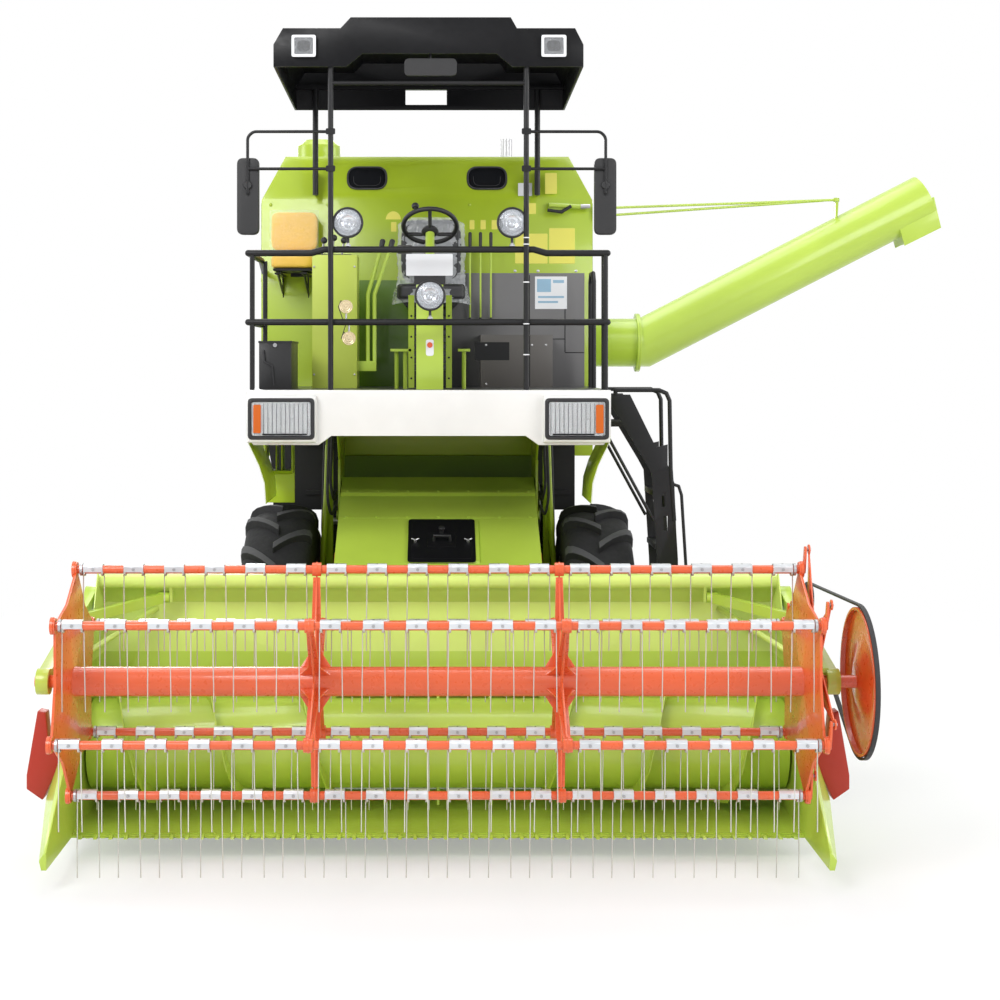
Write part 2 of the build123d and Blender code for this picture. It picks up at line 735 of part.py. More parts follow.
with BuildPart() as grain_elevator:
    block(ELEVATOR_X, ELEVATOR_Y, (ELEVATOR_LOW_Z, ELEVATOR_HEAD_Z))
    side_profile(
        [
            (TANK_REAR_Y, ELEVATOR_HEAD_Z - 40),
            (ELEVATOR_Y[0], ELEVATOR_HEAD_Z),
            (ELEVATOR_Y[0], ELEVATOR_HEAD_Z - 360),
            (TANK_REAR_Y, ELEVATOR_HEAD_Z - 400),
        ],
        ELEVATOR_X[0],
        ELEVATOR_X[1],
    )
    cross_bar(ELEVATOR_X[0] - 20, -BODY_X, TROUGHS[1][0], BODY_BOTTOM_Z + 40, 90)
save(grain_elevator, "grain_elevator")


# Belt drives on both sides: pulleys with an open belt between each pair
BELT_T = 10
DRIVES = [
    # side, belt x, small pulley (y, z, r), large pulley (y, z, r)
    (1, 640, (900, 1150, 120), (1700, 1560, 260)),
    (1, 690, (1700, 1560, 150), (2700, 1350, 200)),
    (-1, 640, (1000, 1250, 140), (1330, 1650, 180)),
    (-1, 640, (2500, 1200, 120), (3050, 1500, 240)),
]


def belt_loop(first, second, x_from, inset):
    """Open belt round two pulleys, as the outline round both circles."""
    y1, z1, r1 = first
    y2, z2, r2 = second
    reach = hypot(y2 - y1, z2 - z1)
    heading = degrees(atan2(z2 - z1, y2 - y1))
    tilt = degrees(asin((r2 - r1) / reach))
    contact = []
    for turn in (90 + tilt, -90 - tilt):
        a = radians(heading + turn)
        contact.append(((y1 + (r1 - inset) * cos(a), z1 + (r1 - inset) * sin(a)),
                        (y2 + (r2 - inset) * cos(a), z2 + (r2 - inset) * sin(a))))
    back = radians(heading + 180)
    ahead = radians(heading)
    with BuildSketch(Plane.YZ.offset(x_from)) as outline:
        with BuildLine():
            Line(contact[0][0], contact[0][1])
            ThreePointArc(
                contact[0][1],
                (y2 + (r2 - inset) * cos(ahead), z2 + (r2 - inset) * sin(ahead)),
                contact[1][1],
            )
            Line(contact[1][1], contact[1][0])
            ThreePointArc(
                contact[1][0],
                (y1 + (r1 - inset) * cos(back), z1 + (r1 - inset) * sin(back)),
                contact[0][0],
            )
        make_face()
    return outline.sketch


with BuildPart() as side_drives:
    for side, belt_x, small, large in DRIVES:
        for pulley_y, pulley_z, pulley_r in (small, large):
            cross_bar(side * BODY_X, side * (belt_x + 26), pulley_y, pulley_z, 28)
        extrude(belt_loop(small, large, side * (belt_x - 12), 0), amount=side * 24)
        extrude(belt_loop(small, large, side * (belt_x - 12), BELT_T), amount=side * 24, mode=Mode.SUBTRACT)
        for pulley_y, pulley_z, pulley_r in (small, large):
            cross_bar(side * (belt_x - 16), side * (belt_x + 16), pulley_y, pulley_z, pulley_r - 4)
save(side_drives, "side_drives")


# Platform: floor, white fascia with headlamp housings, side returns and gussets on the cheeks
FASCIA_T = 24
FASCIA_MID_Z = 2087
HOUSING_D = 55
HOUSINGS = [(-1050, -668), (578, 945)]
GUSSET_T = 12
FENDER = [(0, 2130), (0, 2060), (66, 1921), (96, 1825), (104, 1712)]
FENDER_REAR_Y = -390
LEG_X = 640
LEG_Y = 20
LEG_W = 44
BRACKET_X = (-1010, -850)
BRACKET_Y = (-420, -260)
BRACKET_Z = (1660, 1838)

with BuildPart() as platform:
    block(
        (FLOOR_RIGHT_X, FLOOR_LEFT_X),
        (FLOOR_FRONT_Y + FASCIA_T, TANK_FRONT_Y),
        (FLOOR_Z - FLOOR_T, FLOOR_Z),
    )
    front_profile(
        [
            (FLOOR_RIGHT_X, FLOOR_Z),
            (FLOOR_RIGHT_X, FASCIA_LOW_Z + 60),
            (FLOOR_RIGHT_X + 40, FASCIA_LOW_Z),
            (FLOOR_RIGHT_X + 400, FASCIA_LOW_Z),
            (FLOOR_RIGHT_X + 470, FASCIA_MID_Z),
            (FLOOR_LEFT_X - 470, FASCIA_MID_Z),
            (FLOOR_LEFT_X - 400, FASCIA_LOW_Z),
            (FLOOR_LEFT_X - 40, FASCIA_LOW_Z),
            (FLOOR_LEFT_X, FASCIA_LOW_Z + 60),
            (FLOOR_LEFT_X, FLOOR_Z),
        ],
        FLOOR_FRONT_Y + FASCIA_T,
        FLOOR_FRONT_Y,
    )
    for housing in HOUSINGS:
        block(housing, (FLOOR_FRONT_Y - HOUSING_D, FLOOR_FRONT_Y), (FASCIA_LOW_Z + 15, FLOOR_Z - 30))
    fillet(platform.edges().group_by(Axis.Y)[0], 20)
    for edge_x in (FLOOR_RIGHT_X, FLOOR_LEFT_X - SHEET):
        block(
            (edge_x, edge_x + SHEET),
            (FLOOR_FRONT_Y + FASCIA_T, FENDER_REAR_Y),
            (FENDER[0][1] - 5, FLOOR_Z - FLOOR_T),
        )
    for side, edge_x in ((-1, FLOOR_RIGHT_X), (1, FLOOR_LEFT_X)):
        outer = [(edge_x - side * inset, z) for inset, z in FENDER]
        inner = [(edge_x - side * (inset + SHEET), z) for inset, z in FENDER]
        front_profile(outer + inner[::-1], FENDER_REAR_Y, FLOOR_FRONT_Y + FASCIA_T)
        leg_low, leg_high = sorted((side * LEG_X, side * (LEG_X + LEG_W)))
        block((leg_low, leg_high), (LEG_Y, LEG_Y + LEG_W), (AXLE_TOP_Z, FLOOR_Z - FLOOR_T))
    block(BRACKET_X, (BRACKET_Y[1] - 8, BRACKET_Y[1]), BRACKET_Z)
    side_profile(
        [
            (BRACKET_Y[0] - 30, BRACKET_Z[1] + 22),
            (BRACKET_Y[1], BRACKET_Z[1] + 22),
            (BRACKET_Y[1], BRACKET_Z[1]),
            (BRACKET_Y[0], BRACKET_Z[1]),
        ],
        *BRACKET_X,
    )
    for rib_x in (BRACKET_X[0], BRACKET_X[0] + 60, BRACKET_X[1] - 68, BRACKET_X[1] - 8):
        block((rib_x, rib_x + 8), BRACKET_Y, (BRACKET_Z[1] + 20, FLOOR_Z - FLOOR_T))
    for side in (-1, 1):
        gusset_low, gusset_high = sorted((side * CHEEK_X, side * (CHEEK_X + GUSSET_T)))
        side_profile(
            [
                (-500, FLOOR_Z - FLOOR_T),
                (TANK_FRONT_Y, FLOOR_Z - FLOOR_T),
                (TANK_FRONT_Y, BODY_TOP_Z),
                (-60, BODY_TOP_Z),
            ],
            gusset_low,
            gusset_high,
        )
save(platform, "platform")


# Rails: top and middle tubes round the front and the right side, on side posts, and an entry handrail
RAIL_Y = -980
RAIL_RIGHT_X = FLOOR_RIGHT_X + 7
RAIL_LEFT_X = FLOOR_LEFT_X - 15
RAIL_TANK_END = (TANK_RIGHT_X + 17, TANK_FRONT_Y - 1.9, 3062)
RAIL_DROP = 20
RIGHT_POST_Y = -240
GATE_Y = -880
POST_SHIFT = 22
HANDRAIL_Y = (-110, 120)
HANDRAIL_TOP_Z = 3030
RAIL_POST_R = 14

with BuildPart() as platform_rails:
    bent_bar(
        [
            RAIL_TANK_END,
            (RAIL_RIGHT_X, RIGHT_POST_Y, RAIL_TOP_Z - RAIL_DROP),
            (RAIL_RIGHT_X, RAIL_Y, RAIL_TOP_Z - RAIL_DROP),
            (-700, RAIL_Y, RAIL_TOP_Z - RAIL_DROP),
            (-630, RAIL_Y, RAIL_TOP_Z),
            (530, RAIL_Y, RAIL_TOP_Z),
            (600, RAIL_Y, RAIL_TOP_Z - RAIL_DROP),
            (RAIL_LEFT_X, RAIL_Y, RAIL_TOP_Z - RAIL_DROP),
            (RAIL_LEFT_X, GATE_Y, RAIL_TOP_Z - RAIL_DROP),
        ],
        RAIL_R,
    )
    bent_bar(
        [
            (RAIL_RIGHT_X, RIGHT_POST_Y, RAIL_MID_Z),
            (RAIL_RIGHT_X, RAIL_Y, RAIL_MID_Z),
            (RAIL_LEFT_X, RAIL_Y, RAIL_MID_Z),
            (RAIL_LEFT_X, GATE_Y, RAIL_MID_Z),
        ],
        RAIL_R,
    )
    for post_x, post_y in (
        (RAIL_RIGHT_X + POST_SHIFT, RIGHT_POST_Y),
        (RAIL_RIGHT_X + POST_SHIFT, RAIL_Y),
        (RAIL_LEFT_X - POST_SHIFT / 2, RAIL_Y),
        (RAIL_LEFT_X - POST_SHIFT / 2, GATE_Y),
    ):
        bar((post_x, post_y, FLOOR_Z), (post_x, post_y, RAIL_TOP_Z - RAIL_DROP - 4), RAIL_POST_R)
    bent_bar(
        [
            (RAIL_LEFT_X, HANDRAIL_Y[0], FLOOR_Z),
            (RAIL_LEFT_X, HANDRAIL_Y[0], HANDRAIL_TOP_Z - 50),
            (RAIL_LEFT_X, HANDRAIL_Y[0] + 50, HANDRAIL_TOP_Z),
            (RAIL_LEFT_X, HANDRAIL_Y[1] - 50, HANDRAIL_TOP_Z),
            (RAIL_LEFT_X, HANDRAIL_Y[1], HANDRAIL_TOP_Z - 50),
            (RAIL_LEFT_X, HANDRAIL_Y[1], FLOOR_Z),
        ],
        RAIL_POST_R,
    )
save(platform_rails, "platform_rails")


# Canopy: hollow roof with a raised middle, an arched front edge and a rear window
CANOPY_RIGHT_X = -905
CANOPY_LEFT_X = 800
CANOPY_T = 12
CANOPY_STEP_Z = 4330
CANOPY_CORNER_Z = 4240
CANOPY_REAR_LOW_Z = 4085
ARCH_Z = 4190
FRONT_POST_XS = (-592, 487)
POST_Y = RAIL_Y - RAIL_R - POST_R - 1


def canopy_outline(inset):
    right, left = CANOPY_RIGHT_X + inset, CANOPY_LEFT_X - inset
    return [
        (right, CANOPY_REAR_LOW_Z),
        (right, CANOPY_CORNER_Z - inset / 2),
        (right + 52, CANOPY_STEP_Z - inset),
        (CANOPY_RIGHT_X + 369 + inset / 2, CANOPY_STEP_Z - inset),
        (CANOPY_RIGHT_X + 425 + inset / 2, CANOPY_TOP_Z - inset),
        (CANOPY_LEFT_X - 400 - inset / 2, CANOPY_TOP_Z - inset),
        (CANOPY_LEFT_X - 366 - inset / 2, CANOPY_STEP_Z - inset),
        (left - 46, CANOPY_STEP_Z - inset),
        (left, CANOPY_CORNER_Z - inset / 2),
        (left, CANOPY_REAR_LOW_Z),
    ]


with BuildPart() as canopy:
    front_profile(canopy_outline(0), CANOPY_REAR_Y, CANOPY_FRONT_Y)
    front_profile(
        canopy_outline(CANOPY_T), CANOPY_REAR_Y - CANOPY_T, CANOPY_FRONT_Y + CANOPY_T, Mode.SUBTRACT
    )
    front_profile(
        [
            (CANOPY_RIGHT_X, CANOPY_REAR_LOW_Z),
            (CANOPY_RIGHT_X, CANOPY_LOW_Z),
            (CANOPY_RIGHT_X + 400, CANOPY_LOW_Z),
            (CANOPY_RIGHT_X + 490, ARCH_Z),
            (CANOPY_LEFT_X - 480, ARCH_Z),
            (CANOPY_LEFT_X - 390, CANOPY_LOW_Z),
            (CANOPY_LEFT_X, CANOPY_LOW_Z),
            (CANOPY_LEFT_X, CANOPY_REAR_LOW_Z),
        ],
        CANOPY_FRONT_Y + CANOPY_T,
        CANOPY_FRONT_Y,
        Mode.SUBTRACT,
    )
    side_profile(
        [
            (CANOPY_FRONT_Y, CANOPY_REAR_LOW_Z - 1),
            (CANOPY_FRONT_Y, CANOPY_LOW_Z),
            (CANOPY_REAR_Y, CANOPY_REAR_LOW_Z),
            (CANOPY_REAR_Y, CANOPY_REAR_LOW_Z - 1),
        ],
        CANOPY_RIGHT_X,
        CANOPY_LEFT_X,
        Mode.SUBTRACT,
    )
    block((-205, 55), (CANOPY_REAR_Y - 50, CANOPY_REAR_Y + 10), (4118, 4210), Mode.SUBTRACT)
    for rib_y in (POST_Y, CANOPY_REAR_Y - CANOPY_T - 25):
        block(
            (CANOPY_RIGHT_X + CANOPY_T, CANOPY_LEFT_X - CANOPY_T),
            (rib_y - 14, rib_y + 20),
            (ARCH_Z + 20, ARCH_Z + 50),
        )
save(canopy, "canopy")


# Canopy posts: two in front with a cross tube, two at the tank, on foot brackets
REAR_POST_XS = (-772, 626)
REAR_POST_R = 18
REAR_POST_Y = CANOPY_REAR_Y - CANOPY_T - REAR_POST_R - 8
FOOT_Z = (TANK_SHOULDER_Z + 25, TANK_SHOULDER_Z + 185)


def tank_slope_y(z):
    """Y of the tank's leaning front panel at height z."""
    return TANK_FRONT_Y + (z - TANK_SHOULDER_Z) * TANK_LEAN / (TANK_TOP_Z - TANK_SHOULDER_Z)


with BuildPart() as canopy_posts:
    for post_x in FRONT_POST_XS:
        bar((post_x, POST_Y, FLOOR_Z), (post_x, POST_Y, ARCH_Z + 20), POST_R)
    cross_bar(FRONT_POST_XS[0], FRONT_POST_XS[1], POST_Y, 4033, POST_R - 3)
    for post_x in REAR_POST_XS:
        bar((post_x, REAR_POST_Y, FOOT_Z[0]), (post_x, REAR_POST_Y, ARCH_Z + 20), REAR_POST_R)
        side_profile(
            [
                (REAR_POST_Y, FOOT_Z[0]),
                (tank_slope_y(FOOT_Z[0]), FOOT_Z[0]),
                (tank_slope_y(FOOT_Z[1]), FOOT_Z[1]),
                (REAR_POST_Y, FOOT_Z[1]),
            ],
            post_x - 6,
            post_x + 6,
        )
save(canopy_posts, "canopy_posts")


# Mirrors on two tube arms from each front post
MIRRORS = [
    # post x, glass centre x
    (FRONT_POST_XS[0], -1050),
    (FRONT_POST_XS[1], 925),
]
with BuildPart() as mirrors:
    for post_x, glass_x in MIRRORS:
        side = 1 if glass_x > post_x else -1
        for arm_z in (3765, 3560):
            bar((post_x + side * POST_R, POST_Y, arm_z), (glass_x, POST_Y, arm_z), 9)
        with Locations((glass_x, POST_Y, 3765)):
            Sphere(9)
        bar((glass_x, POST_Y, 3420), (glass_x, POST_Y, 3765), 9)
        with Locations((glass_x, POST_Y + 30, 3410)):
            Box(122, 44, 424)
    fillet(mirrors.edges().filter_by(Axis.Y), 18)
save(mirrors, "mirrors")


# Lamps on the rails and the canopy front, headlamp frames on the fascia, and two disc horns
ROUND_LAMPS = [(-498, RAIL_TOP_Z), (410, RAIL_TOP_Z), (-44, RAIL_MID_Z)]
SQUARE_LAMPS = [(-803, -670), (567, 704)]
HORNS = [(-508, RAIL_MID_Z + 85), (-492, RAIL_MID_Z - 90)]

with BuildPart() as lamps:
    for lamp_x, rail_z in ROUND_LAMPS:
        bar((lamp_x, RAIL_Y, rail_z + RAIL_R), (lamp_x, RAIL_Y, rail_z + RAIL_R + 50), 9)
        bar((lamp_x, RAIL_Y + 30, rail_z + 147), (lamp_x, RAIL_Y - 14, rail_z + 147), 86)
        with Locations(Plane(origin=(lamp_x, RAIL_Y + 30, rail_z + 147), z_dir=(0, 1, 0))):
            Cone(86, 40, 50, align=ROOT)
    for lamp_x in SQUARE_LAMPS:
        block(lamp_x, (CANOPY_FRONT_Y - 32, CANOPY_FRONT_Y), (4168, 4288))
    for housing in HOUSINGS:
        block(
            (housing[0] + 14, housing[1] - 14),
            (FLOOR_FRONT_Y - HOUSING_D - 12, FLOOR_FRONT_Y - HOUSING_D),
            (FASCIA_LOW_Z + 40, FLOOR_Z - 50),
        )
    for horn_x, horn_z in HORNS:
        bar((horn_x, RAIL_Y - 40, horn_z), (horn_x, RAIL_Y - 10, horn_z), 38)
        bar((horn_x, RAIL_Y - 10, horn_z), (horn_x, RAIL_Y + 35, horn_z), 24)
        rail_side = RAIL_R if horn_z > RAIL_MID_Z else -RAIL_R
        bar((horn_x, RAIL_Y, horn_z), (horn_x, RAIL_Y, RAIL_MID_Z + rail_side), 6)
save(lamps, "lamps_and_horns")


# Operator's seat and helper seat
with BuildPart() as operator_seat:
    block((-180, 90), (-60, 200), (FLOOR_Z, 2860))
    block((-258, 172), (-170, 290), (2860, 2970))
    block((-235, 150), (200, 300), (2970, 3390))
save(operator_seat, "operator_seat")

with BuildPart() as helper_seat:
    block((-1030, -750), (40, TANK_FRONT_Y - 30), (3060, 3150))
    block((-1052, -752), (TANK_FRONT_Y - 110, TANK_FRONT_Y - 30), (3190, 3440))
    block((-1000, -960), (60, TANK_FRONT_Y), (3030, 3060))
    block((-840, -800), (60, TANK_FRONT_Y), (3030, 3060))
    block((-930, -850), (TANK_FRONT_Y - 30, TANK_FRONT_Y), (3030, 3400))
save(helper_seat, "helper_seat")


# Control panels: lever column, steering column, grey panels, boxes, levers and pedals
WHEEL_CENTRE = (-46, -550, 3280)
WHEEL_TILT = 35
WHEEL_R = 155

with BuildPart() as control_panels:
    block((-747, -482), (-260, 60), (FLOOR_Z, 3130))
    block((84, 916), (TANK_FRONT_Y - 140, TANK_FRONT_Y), (FLOOR_Z, 3050))
    block((260, 700), (TANK_FRONT_Y - 420, TANK_FRONT_Y - 140), (FLOOR_Z, 2660))
    block((-1015, -832), (-735, -264), (FLOOR_Z, 2610))
    for lever_x, grip_x in ((-420, -345), (-380, -290)):
        bent_bar([(lever_x, -160, 2460), (lever_x, -160, 2900), (grip_x, -160, 3160)], 12)
    block((-482, -370), (-200, -120), (2440, 2500))
    for lever_x in (200, 265, 330):
        bar((lever_x, TANK_FRONT_Y - 170, 2760), (lever_x, TANK_FRONT_Y - 170, 3300), 6)
        block((lever_x - 8, lever_x + 8), (TANK_FRONT_Y - 176, TANK_FRONT_Y - 140), (2740, 2770))
    for pedal_x in (-240, -190, 150):
        bent_bar([(pedal_x, -500, FLOOR_Z), (pedal_x, -500, FLOOR_Z + 60), (pedal_x, -530, 2560)], 12)
        block((pedal_x - 35, pedal_x + 35), (-560, -500), (2555, 2570))
save(control_panels, "control_panels")

column_axis = Vector(0, sin(radians(WHEEL_TILT)), cos(radians(WHEEL_TILT)))
WHEEL_PLANE = Plane(origin=WHEEL_CENTRE, x_dir=(1, 0, 0), z_dir=column_axis)
COLUMN_TOP = Vector(*WHEEL_CENTRE) - column_axis * 60
with BuildPart() as steering_column:
    block((-122, 29), (-830, -660), (FLOOR_Z, 2990))
    bar(COLUMN_TOP - column_axis * 350, COLUMN_TOP, 26)
save(steering_column, "steering_column")

with BuildPart() as steering_wheel:
    with BuildSketch(WHEEL_PLANE) as rim_plane:
        Circle(WHEEL_R + 12)
        Circle(WHEEL_R - 12, mode=Mode.SUBTRACT)
    extrude(amount=12, both=True)
    with BuildSketch(WHEEL_PLANE):
        for spoke in (90, 210, 330):
            with Locations(Location((0, 0, 0), (0, 0, spoke))):
                with Locations((WHEEL_R / 2, 0)):
                    Rectangle(WHEEL_R, 26)
    extrude(amount=-10)
    bar(COLUMN_TOP + column_axis * 0.5, Vector(*WHEEL_CENTRE) + column_axis * 5, 32)
save(steering_wheel, "steering_wheel")


# Ladder: two slotted stringers with treads, stays under the platform, and handrails
STRINGER_T = 8
STRINGER_YS = (-800, -400)
STRINGER_Z = (500, 2311)
LADDER_IN_X = 1262
LADDER_OUT_X = 1384
SLOT_ZS = (1585, 1720)

with BuildPart() as ladder:
    for stringer_y in STRINGER_YS:
        front_profile(
            [
                (FLOOR_LEFT_X, STRINGER_Z[1] - 20),
                (FLOOR_LEFT_X, STRINGER_Z[1]),
                (1082, STRINGER_Z[1]),
                (1228, 2014),
                (1294, 2030),
                (1294, 1916),
                (1331, 1817),
                (LADDER_OUT_X, STRINGER_Z[0] + 20),
                (LADDER_IN_X, STRINGER_Z[0]),
                (1236, 1351),
                (1204, 1864),
                (1172, 1924),
            ],
            stringer_y + STRINGER_T / 2,
            stringer_y - STRINGER_T / 2,
        )
        for slot_z in SLOT_ZS:
            slot_x = 1272 + (SLOT_ZS[1] - slot_z) * 0.07
            block(
                (slot_x - 12, slot_x + 12),
                (stringer_y - STRINGER_T, stringer_y + STRINGER_T),
                (slot_z - 42, slot_z + 42),
                Mode.SUBTRACT,
            )
    for tread_z in (540, 840, 1140, 1440, 1740):
        tread_in_x = 1204 + (1864 - tread_z) * 0.045
        block((tread_in_x, tread_in_x + 92), STRINGER_YS, (tread_z, tread_z + 30))
    block((FLOOR_LEFT_X, 1072), STRINGER_YS, (2130, 2160))
    for stringer_y in STRINGER_YS:
        bent_bar(
            [
                (1000, stringer_y, STRINGER_Z[1]),
                (1000, stringer_y, 2336),
                (1245, stringer_y, 2336),
                (1287, stringer_y, 2318),
                (1305, stringer_y, 2276),
                (1311, stringer_y, 1896),
                (1331, stringer_y, 1600),
            ],
            12,
        )
        bent_bar(
            [
                (1325, stringer_y, 1805),
                (1356, stringer_y, 1795),
                (1372, stringer_y, 1745),
                (1397, stringer_y, 1343),
                (1400, stringer_y, 1060),
                (1355, stringer_y, 1030),
            ],
            9,
        )
        bar((FLOOR_LEFT_X + 8, stringer_y, 2068), (1215, stringer_y, 1600), 9)
save(ladder, "ladder")


# Unloader: fixed stub from the tank, folding tube with its spout, and stay rods on the tube
FOLD_Y = UNLOADER_Y + FLANGE_R + 25
FLANGE_GAP = 1
HINGE_R = 12
LUG_Z = (62, 90)
MITRE_X = UNLOADER_FLANGE_X + 45
BORE_R = UNLOADER_R - SHEET
RISE = tan(radians(UNLOADER_RISE))
TUBE_END_Z = UNLOADER_Z + (UNLOADER_END_X - MITRE_X) * RISE
STAY_X = 2596
STAY_Y = UNLOADER_Y - 40
STAY_Z = UNLOADER_Z + (STAY_X - MITRE_X) * RISE + UNLOADER_R + 130

with BuildPart() as unloader_stub:
    cross_bar(TANK_LEFT_X, UNLOADER_FLANGE_X, UNLOADER_Y, UNLOADER_Z, UNLOADER_R)
    cross_bar(UNLOADER_FLANGE_X - FLANGE_T, UNLOADER_FLANGE_X, UNLOADER_Y, UNLOADER_Z, FLANGE_R)
    for lug_z in (LUG_Z, (-LUG_Z[1], -LUG_Z[0])):
        lug_span = (UNLOADER_Z + lug_z[0], UNLOADER_Z + lug_z[1])
        block(
            (UNLOADER_FLANGE_X - FLANGE_T, UNLOADER_FLANGE_X), (UNLOADER_Y + 110, FOLD_Y + 22), lug_span
        )
        block(
            (UNLOADER_FLANGE_X - FLANGE_T, UNLOADER_FLANGE_X + 22), (FOLD_Y - 22, FOLD_Y + 22), lug_span
        )
    bar(
        (UNLOADER_FLANGE_X, FOLD_Y, UNLOADER_Z - LUG_Z[1]),
        (UNLOADER_FLANGE_X, FOLD_Y, UNLOADER_Z + LUG_Z[1]),
        HINGE_R,
    )
    cross_bar(TANK_LEFT_X, UNLOADER_FLANGE_X, UNLOADER_Y, UNLOADER_Z, BORE_R, Mode.SUBTRACT)
save(unloader_stub, "unloader_stub")


def unloader_pipe(radius, reach, mode=Mode.ADD):
    """Mitred pipe from the fold flange up to the spout."""
    start = (UNLOADER_FLANGE_X + FLANGE_GAP, UNLOADER_Y, UNLOADER_Z)
    end_x = UNLOADER_END_X - reach
    with BuildLine() as route:
        Polyline(
            start,
            (MITRE_X, UNLOADER_Y, UNLOADER_Z),
            (end_x, UNLOADER_Y, UNLOADER_Z + (end_x - MITRE_X) * RISE),
        )
    with BuildSketch(Plane(origin=start, z_dir=(1, 0, 0))) as bore:
        Circle(radius)
    sweep(bore.sketch, path=route.line, transition=Transition.RIGHT, mode=mode)


SPOUT = [(2966, 3442), (3021, 3246), (SPOUT_X, 3363), (3211, 3563)]
SPOUT_BORE = [(3000, 3445), (3024, 3200), (SPOUT_X + 4, 3330), (3205, 3545)]
SPOUT_HALF = 120

with BuildPart() as unloader_tube:
    unloader_pipe(UNLOADER_R, 0)
    cross_bar(
        UNLOADER_FLANGE_X + FLANGE_GAP,
        UNLOADER_FLANGE_X + FLANGE_GAP + FLANGE_T,
        UNLOADER_Y,
        UNLOADER_Z,
        FLANGE_R,
    )
    block(
        (UNLOADER_FLANGE_X + FLANGE_GAP, UNLOADER_FLANGE_X + FLANGE_GAP + FLANGE_T),
        (UNLOADER_Y + 110, FOLD_Y),
        (UNLOADER_Z - LUG_Z[0] + 2, UNLOADER_Z + LUG_Z[0] - 2),
    )
    bar(
        (UNLOADER_FLANGE_X, FOLD_Y, UNLOADER_Z - LUG_Z[0] + 2),
        (UNLOADER_FLANGE_X, FOLD_Y, UNLOADER_Z + LUG_Z[0] - 2),
        HINGE_R + 10,
    )
    front_profile(SPOUT, UNLOADER_Y + SPOUT_HALF, UNLOADER_Y - SPOUT_HALF)
    side_profile(
        [
            (STAY_Y - 30, STAY_Z - 16),
            (STAY_Y + 30, STAY_Z - 16),
            (STAY_Y + 60, STAY_Z - 200),
            (STAY_Y + 20, STAY_Z - 200),
        ],
        STAY_X - 8,
        STAY_X + 8,
    )
    bar((STAY_X, STAY_Y, STAY_Z - 16), (STAY_X, STAY_Y, STAY_Z + 14), 8)
    unloader_pipe(BORE_R, 30, Mode.SUBTRACT)
    front_profile(
        SPOUT_BORE, UNLOADER_Y + SPOUT_HALF - SHEET, UNLOADER_Y - SPOUT_HALF + SHEET, Mode.SUBTRACT
    )
    bar(
        (UNLOADER_FLANGE_X, FOLD_Y, UNLOADER_Z - LUG_Z[0]),
        (UNLOADER_FLANGE_X, FOLD_Y, UNLOADER_Z + LUG_Z[0]),
        HINGE_R + PIN_GAP,
        Mode.SUBTRACT,
    )
save(unloader_tube, "unloader_tube")

STAY_INNER = (TANK_LEFT_X + 25, TANK_FRONT_Y - 25, 3465)
with BuildPart() as unloader_stays:
    bar((STAY_X, STAY_Y, STAY_Z - 12), (STAY_X, STAY_Y, STAY_Z + 12), 20)
    bar((STAY_X, STAY_Y, STAY_Z), STAY_INNER, 8)
    bar((STAY_X - 90, STAY_Y - 18, STAY_Z - 6), (STAY_INNER[0], STAY_INNER[1], STAY_INNER[2] - 50), 8)
    block(
        (STAY_INNER[0] - 10, STAY_INNER[0] + 20),
        (STAY_INNER[1] - 12, STAY_INNER[1] + 12),
        (STAY_INNER[2] - 65, STAY_INNER[2] + 15),
    )
    bar((STAY_X, STAY_Y, STAY_Z - 14), (STAY_X, STAY_Y, STAY_Z + 14), 8 + PIN_GAP, Mode.SUBTRACT)
save(unloader_stays, "unloader_stays")


# Feeder house: hollow sheet housing with a bolted cover, pivot pins and lugs for the lift rods
FEEDER_LOW_FRONT_Z = 160
FEEDER_TOP_FRONT_Z = 1270
COVER_HALF = 200
FEEDER_SLOPE = (1790 - FEEDER_TOP_FRONT_Z) / (60 - HEADER_BACK_Y)


def feeder_top(y, lift):
    """Height of the sloped top sheet at y, lift above it."""
    return FEEDER_TOP_FRONT_Z + (y - HEADER_BACK_Y) * FEEDER_SLOPE + lift


with BuildPart() as feeder_house:
    side_profile(
        [
            (HEADER_BACK_Y, FEEDER_LOW_FRONT_Z),
            (HEADER_BACK_Y, FEEDER_TOP_FRONT_Z),
            (60, 1790),
            (330, 1500),
            (250, 1180),
        ],
        -FEEDER_X,
        FEEDER_X,
    )
    side_profile(
        [
            (HEADER_BACK_Y - 1, FEEDER_LOW_FRONT_Z + 12),
            (HEADER_BACK_Y - 1, FEEDER_TOP_FRONT_Z - 10),
            (55, 1780),
            (320, 1498),
            (245, 1190),
        ],
        -FEEDER_X + 8,
        FEEDER_X - 8,
        Mode.SUBTRACT,
    )
    side_profile(
        [
            (-820, feeder_top(-820, 0)),
            (-820, feeder_top(-820, 14)),
            (-420, feeder_top(-420, 14)),
            (-420, feeder_top(-420, 0)),
        ],
        -COVER_HALF + 35,
        COVER_HALF + 35,
    )
    for side in (-1, 1):
        cross_bar(
            side * (FEEDER_X - 8), side * (CHEEK_X + CHEEK_T + 14), FEEDER_PIVOT_Y, FEEDER_PIVOT_Z, PIVOT_R
        )
        cross_bar(side * (FEEDER_X - 2), side * (FEEDER_X + 25), *LIFT_HEADER_PIN, 42)
        cross_bar(side * FEEDER_X, side * (LIFT_X + LIFT_EYE_W / 2 + 6), *LIFT_HEADER_PIN, LIFT_PIN_R)
save(feeder_house, "feeder_house")


# Header table: trough sheet, end sheets, top beam, rear beam with gussets, and the crop dividers
END_T = 6
MOUTH_HALF = 560
MOUTH_Z = (170, 800)
TROUGH_R = AUGER_FLIGHT_R + AUGER_GAP
WALL_TOP_Z = 1262
DIVIDER_REAR_Y = -1880
DIVIDER_TIP_Y = -2480
BRACE_X = 1493
BRACE_PIN_R = 16

